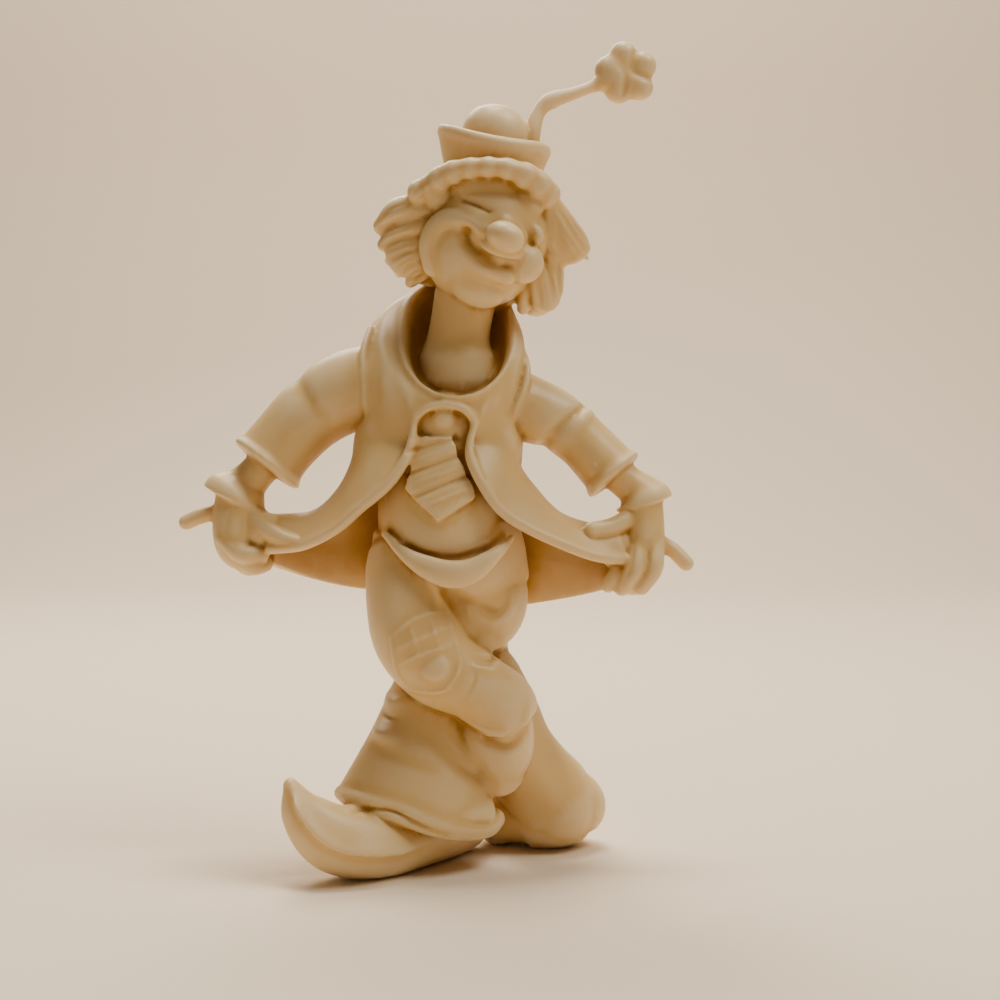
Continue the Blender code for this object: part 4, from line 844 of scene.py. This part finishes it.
print("fusing the clown's forms")
forms = [
    *headForms(), *hairForms(), *hatForms(), *flowerForms(), *bodyForms(), *tieForms(),
    *coatTailForms(), *armForms(), *trouserForms(), *shoeForms(), *flashForms(),
]
clown = fused("clown_cast", forms, cast["grain"], cast["fuseRounds"])
print("carving")
soften(clown, softPlaces, cast["softRounds"])
carve(clown, [*carving(), *strands(), *patchLines(), *folds()])
thinned(clown, cast["mostTriangles"])
print("looking for hollows on", len(clown.data.polygons), "triangles")
storeHollows(clown)
shift = placed(clown)
print("moved by", shift / hundredth, "hundredths")


class Value:
    # A socket, or what Math nodes make of it.
    def __init__(self, tree, socket):
        self.tree, self.socket = tree, socket

    def math(self, operation, *terms):
        # A Math node on numbers and values.
        node = self.tree.nodes.new("ShaderNodeMath")
        node.operation = operation
        for place, term in enumerate(terms):
            if isinstance(term, Value):
                self.tree.links.new(term.socket, node.inputs[place])
            else:
                node.inputs[place].default_value = term
        return Value(self.tree, node.outputs[0])

    def __add__(self, other):
        return self.math("ADD", self, other)

    def __radd__(self, other):
        return self.math("ADD", other, self)

    def __sub__(self, other):
        return self.math("SUBTRACT", self, other)

    def __rsub__(self, other):
        return self.math("SUBTRACT", other, self)

    def __mul__(self, other):
        return self.math("MULTIPLY", self, other)

    def __rmul__(self, other):
        return self.math("MULTIPLY", other, self)

    def between(self, low, high):
        # 0 below low, 1 above high, smooth from one to the other.
        node = self.tree.nodes.new("ShaderNodeMapRange")
        node.interpolation_type = "SMOOTHSTEP"
        self.tree.links.new(self.socket, node.inputs["Value"])
        node.inputs["From Min"].default_value, node.inputs["From Max"].default_value = low, high
        return Value(self.tree, node.outputs["Result"])


class Finish:
    # A material and its nodes.
    def __init__(self, name):
        self.material = bpy.data.materials.new(name)
        self.material.use_nodes = True
        self.tree = self.material.node_tree
        self.surface = self.tree.nodes["Principled BSDF"]

    def add(self, kind, settings, **inputs):
        # A node by its type, with its settings and its inputs by name.
        node = self.tree.nodes.new("ShaderNode" + kind)
        for name, value in settings.items():
            setattr(node, name, value)
        for name, value in inputs.items():
            self.feed(node, name, value)
        return node

    def feed(self, node, name, value):
        # An input by its name, or by its number after an i, takes a number, a colour or a socket.
        socket = node.inputs[int(name[1:])] if name[0] == "i" and name[1:].isdigit() else node.inputs[name]
        if isinstance(value, Value):
            self.tree.links.new(value.socket, socket)
        elif isinstance(value, bpy.types.NodeSocket):
            self.tree.links.new(value, socket)
        else:
            socket.default_value = value

    def value(self, socket):
        return Value(self.tree, socket)

    def noise(self, place, scale, detail):
        return self.value(self.add("TexNoise", {}, Vector=place, Scale=scale, Detail=detail).outputs["Fac"])

    def blend(self, share, first, second):
        # A colour from first to second.
        node = self.add("Mix", {"data_type": "RGBA"})
        self.feed(node, "i0", share)
        self.feed(node, "i6", first)
        self.feed(node, "i7", second)
        return node.outputs[2]


ivory = {
    "plain": (0.720, 0.490, 0.195, 1),
    # The next colour is painted shade: the amber that the hollows and the figure's own shade are painted with
    "deep": (0.420, 0.205, 0.016, 1),
    # The next colour is a painted highlight for raised edges
    "paintedHighlight": (0.800, 0.630, 0.360, 1),
    "dirt": (0.130, 0.070, 0.025, 1),
    "rough": 0.42,
    "through": 0.22,  # share of the light that goes into the plastic
    "throughReach": 0.0016,  # how far it goes
    "throughTint": (1.0, 0.62, 0.30),
    "bending": 1.49,
    "cloudScale": 160.0,  # slow changes of colour
    "grainScale": 1900.0,  # fine grain of the skin
    "speckScale": 2600.0,  # specks of dirt in the hollows
    "bump": 0.25,
    "bumpHeight": 0.00004,
}


def ivoryPlastic():
    # Painted shade: the hollows and the figure's own shade from its rays, with slow clouds of real tone, turn
    # plain into the painted amber shade, deep.
    # Raised edges take a painted highlight, and the rare peaks of the speck noise are dirt where the skin is
    # hollow.
    finish = Finish("ivory plastic")
    place = finish.add("TexCoord", {}).outputs["Object"]
    hollow = finish.value(finish.add("Attribute", {"attribute_name": "hollow"}).outputs["Fac"])
    shade = finish.value(finish.add("Attribute", {"attribute_name": "shade"}).outputs["Fac"])
    cloud = finish.noise(place, ivory["cloudScale"], 4.0)
    grain = finish.noise(place, ivory["grainScale"], 3.0)
    speck = finish.noise(place, ivory["speckScale"], 1.0)
    # Painted shade in the hollows and where the figure shades itself, mixed with slow random tone
    paintedShadeAndTone = (hollow + shade * 1.1 + (cloud - 0.5) * 0.35).between(0.22, 1.08)
    # Painted highlight on raised edges
    paintedEdgeLight = (0.0 - hollow).between(0.05, 0.5) * 0.7
    dirt = speck.between(0.70, 0.76) * hollow.between(0.35, 0.7) * 0.8
    colour = finish.blend(paintedShadeAndTone, ivory["plain"], ivory["deep"])
    colour = finish.blend(paintedEdgeLight, colour, ivory["paintedHighlight"])
    colour = finish.blend(dirt, colour, ivory["dirt"])
    finish.feed(finish.surface, "Base Color", colour)
    finish.feed(finish.surface, "Roughness", ivory["rough"] + (grain - 0.5) * 0.15 + paintedShadeAndTone * 0.12)
    bump = finish.add("Bump", {}, Strength=ivory["bump"], Distance=ivory["bumpHeight"],
                      Height=grain + cloud * 2.0)
    finish.feed(finish.surface, "Normal", bump.outputs["Normal"])
    finish.feed(finish.surface, "Subsurface Weight", ivory["through"])
    finish.feed(finish.surface, "Subsurface Radius", ivory["throughTint"])
    finish.feed(finish.surface, "Subsurface Scale", ivory["throughReach"])
    finish.feed(finish.surface, "IOR", ivory["bending"])
    return finish.material


print("ivory plastic")
clown.data.materials.append(ivoryPlastic())
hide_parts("clown")
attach(clown, "root")

print("studio")
studio = {
    "floor": (0.84, 0.70, 0.53, 1),
    "floorRough": 0.8,
    "halfWide": 0.6,
    "nearEnd": -0.5,
    "curveStart": 0.25,  # where the floor starts to rise
    "curve": 0.15,  # radius of the rise
    "top": 0.7,  # of the wall
    "world": 0.07,
    "worldTint": (1.0, 0.95, 0.89, 1),
}
# Each light's place, what it points at, its width, power and colour
middle = (0.0, 0.0, 0.04)
lights = {
    "key": ((0.14, -0.06, 0.26), middle, 0.13, 0.46, (1.0, 0.95, 0.85)),
    "fill": ((-0.20, -0.24, 0.12), middle, 0.20, 0.015, (1.0, 0.95, 0.88)),
    "rim": ((-0.06, 0.18, 0.24), middle, 0.16, 0.55, (1.0, 0.94, 0.84)),
    "wall": ((0.0, 0.06, 0.50), (0.0, 0.40, 0.12), 0.20, 3.0, (1.0, 0.93, 0.85)),
}
# The camera looks straight to the back from chest height, its place in hundredths of the height
view = {"place": (6, -200, 51.3), "lens": 60.336, "sensor": 36.0, "shiftUp": -0.07, "near": 0.005}


def studioFloor():
    # A sheet that lies flat and curves up behind: z = 0, then a quarter circle, then upright.
    start, curve = studio["curveStart"], studio["curve"]
    turn = np.linspace(0.1, math.pi / 2, 12)
    side = np.linspace(-studio["halfWide"], studio["halfWide"], 3)
    flat = np.linspace(studio["nearEnd"], start, 4)
    run = np.concatenate([flat, start + curve * np.sin(turn), [start + curve]])
    rise = np.concatenate([np.zeros(4), curve - curve * np.cos(turn), [studio["top"]]])
    grid = np.array([[(x, y, z) for x in side] for y, z in zip(run, rise)])
    rows, columns = grid.shape[:2]
    at = np.arange(rows * columns).reshape(rows, columns)
    quads = np.stack([at[:-1, :-1], at[:-1, 1:], at[1:, 1:], at[1:, :-1]], -1).reshape(-1, 4)
    mesh = bpy.data.meshes.new("floor")
    mesh.from_pydata(grid.reshape(-1, 3).tolist(), [], quads.tolist())
    mesh.shade_smooth()
    floor = bpy.data.objects.new("floor", mesh)
    bpy.context.scene.collection.objects.link(floor)
    paper = Finish("paper")
    paper.feed(paper.surface, "Base Color", studio["floor"])
    paper.feed(paper.surface, "Roughness", studio["floorRough"])
    mesh.materials.append(paper.material)


def softLight(name, place, target, size, power, colour):
    # A round lamp that faces its target.
    light = bpy.data.lights.new(name, "AREA")
    light.shape, light.size, light.energy, light.color = "DISK", size, power, colour
    lamp = bpy.data.objects.new(name, light)
    lamp.location = place
    lamp.rotation_euler = (Vector(target) - Vector(place)).to_track_quat("-Z", "Y").to_euler()
    bpy.context.scene.collection.objects.link(lamp)


studioFloor()
for name, setup in lights.items():
    softLight(name, *setup)
world = bpy.data.worlds.new("studio")
world.use_nodes = True
background = world.node_tree.nodes["Background"]
background.inputs["Color"].default_value = studio["worldTint"]
background.inputs["Strength"].default_value = studio["world"]
bpy.context.scene.world = world

print("camera")
lens = bpy.data.cameras.new("view")
lens.lens = view["lens"]
lens.sensor_width = view["sensor"]
lens.shift_y = view["shiftUp"]
lens.clip_start = view["near"]
camera = bpy.data.objects.new("view", lens)
camera.location = Vector(view["place"]) * hundredth + Vector(shift)
camera.rotation_euler = (math.radians(90), 0, 0)
bpy.context.scene.collection.objects.link(camera)
bpy.context.scene.camera = camera
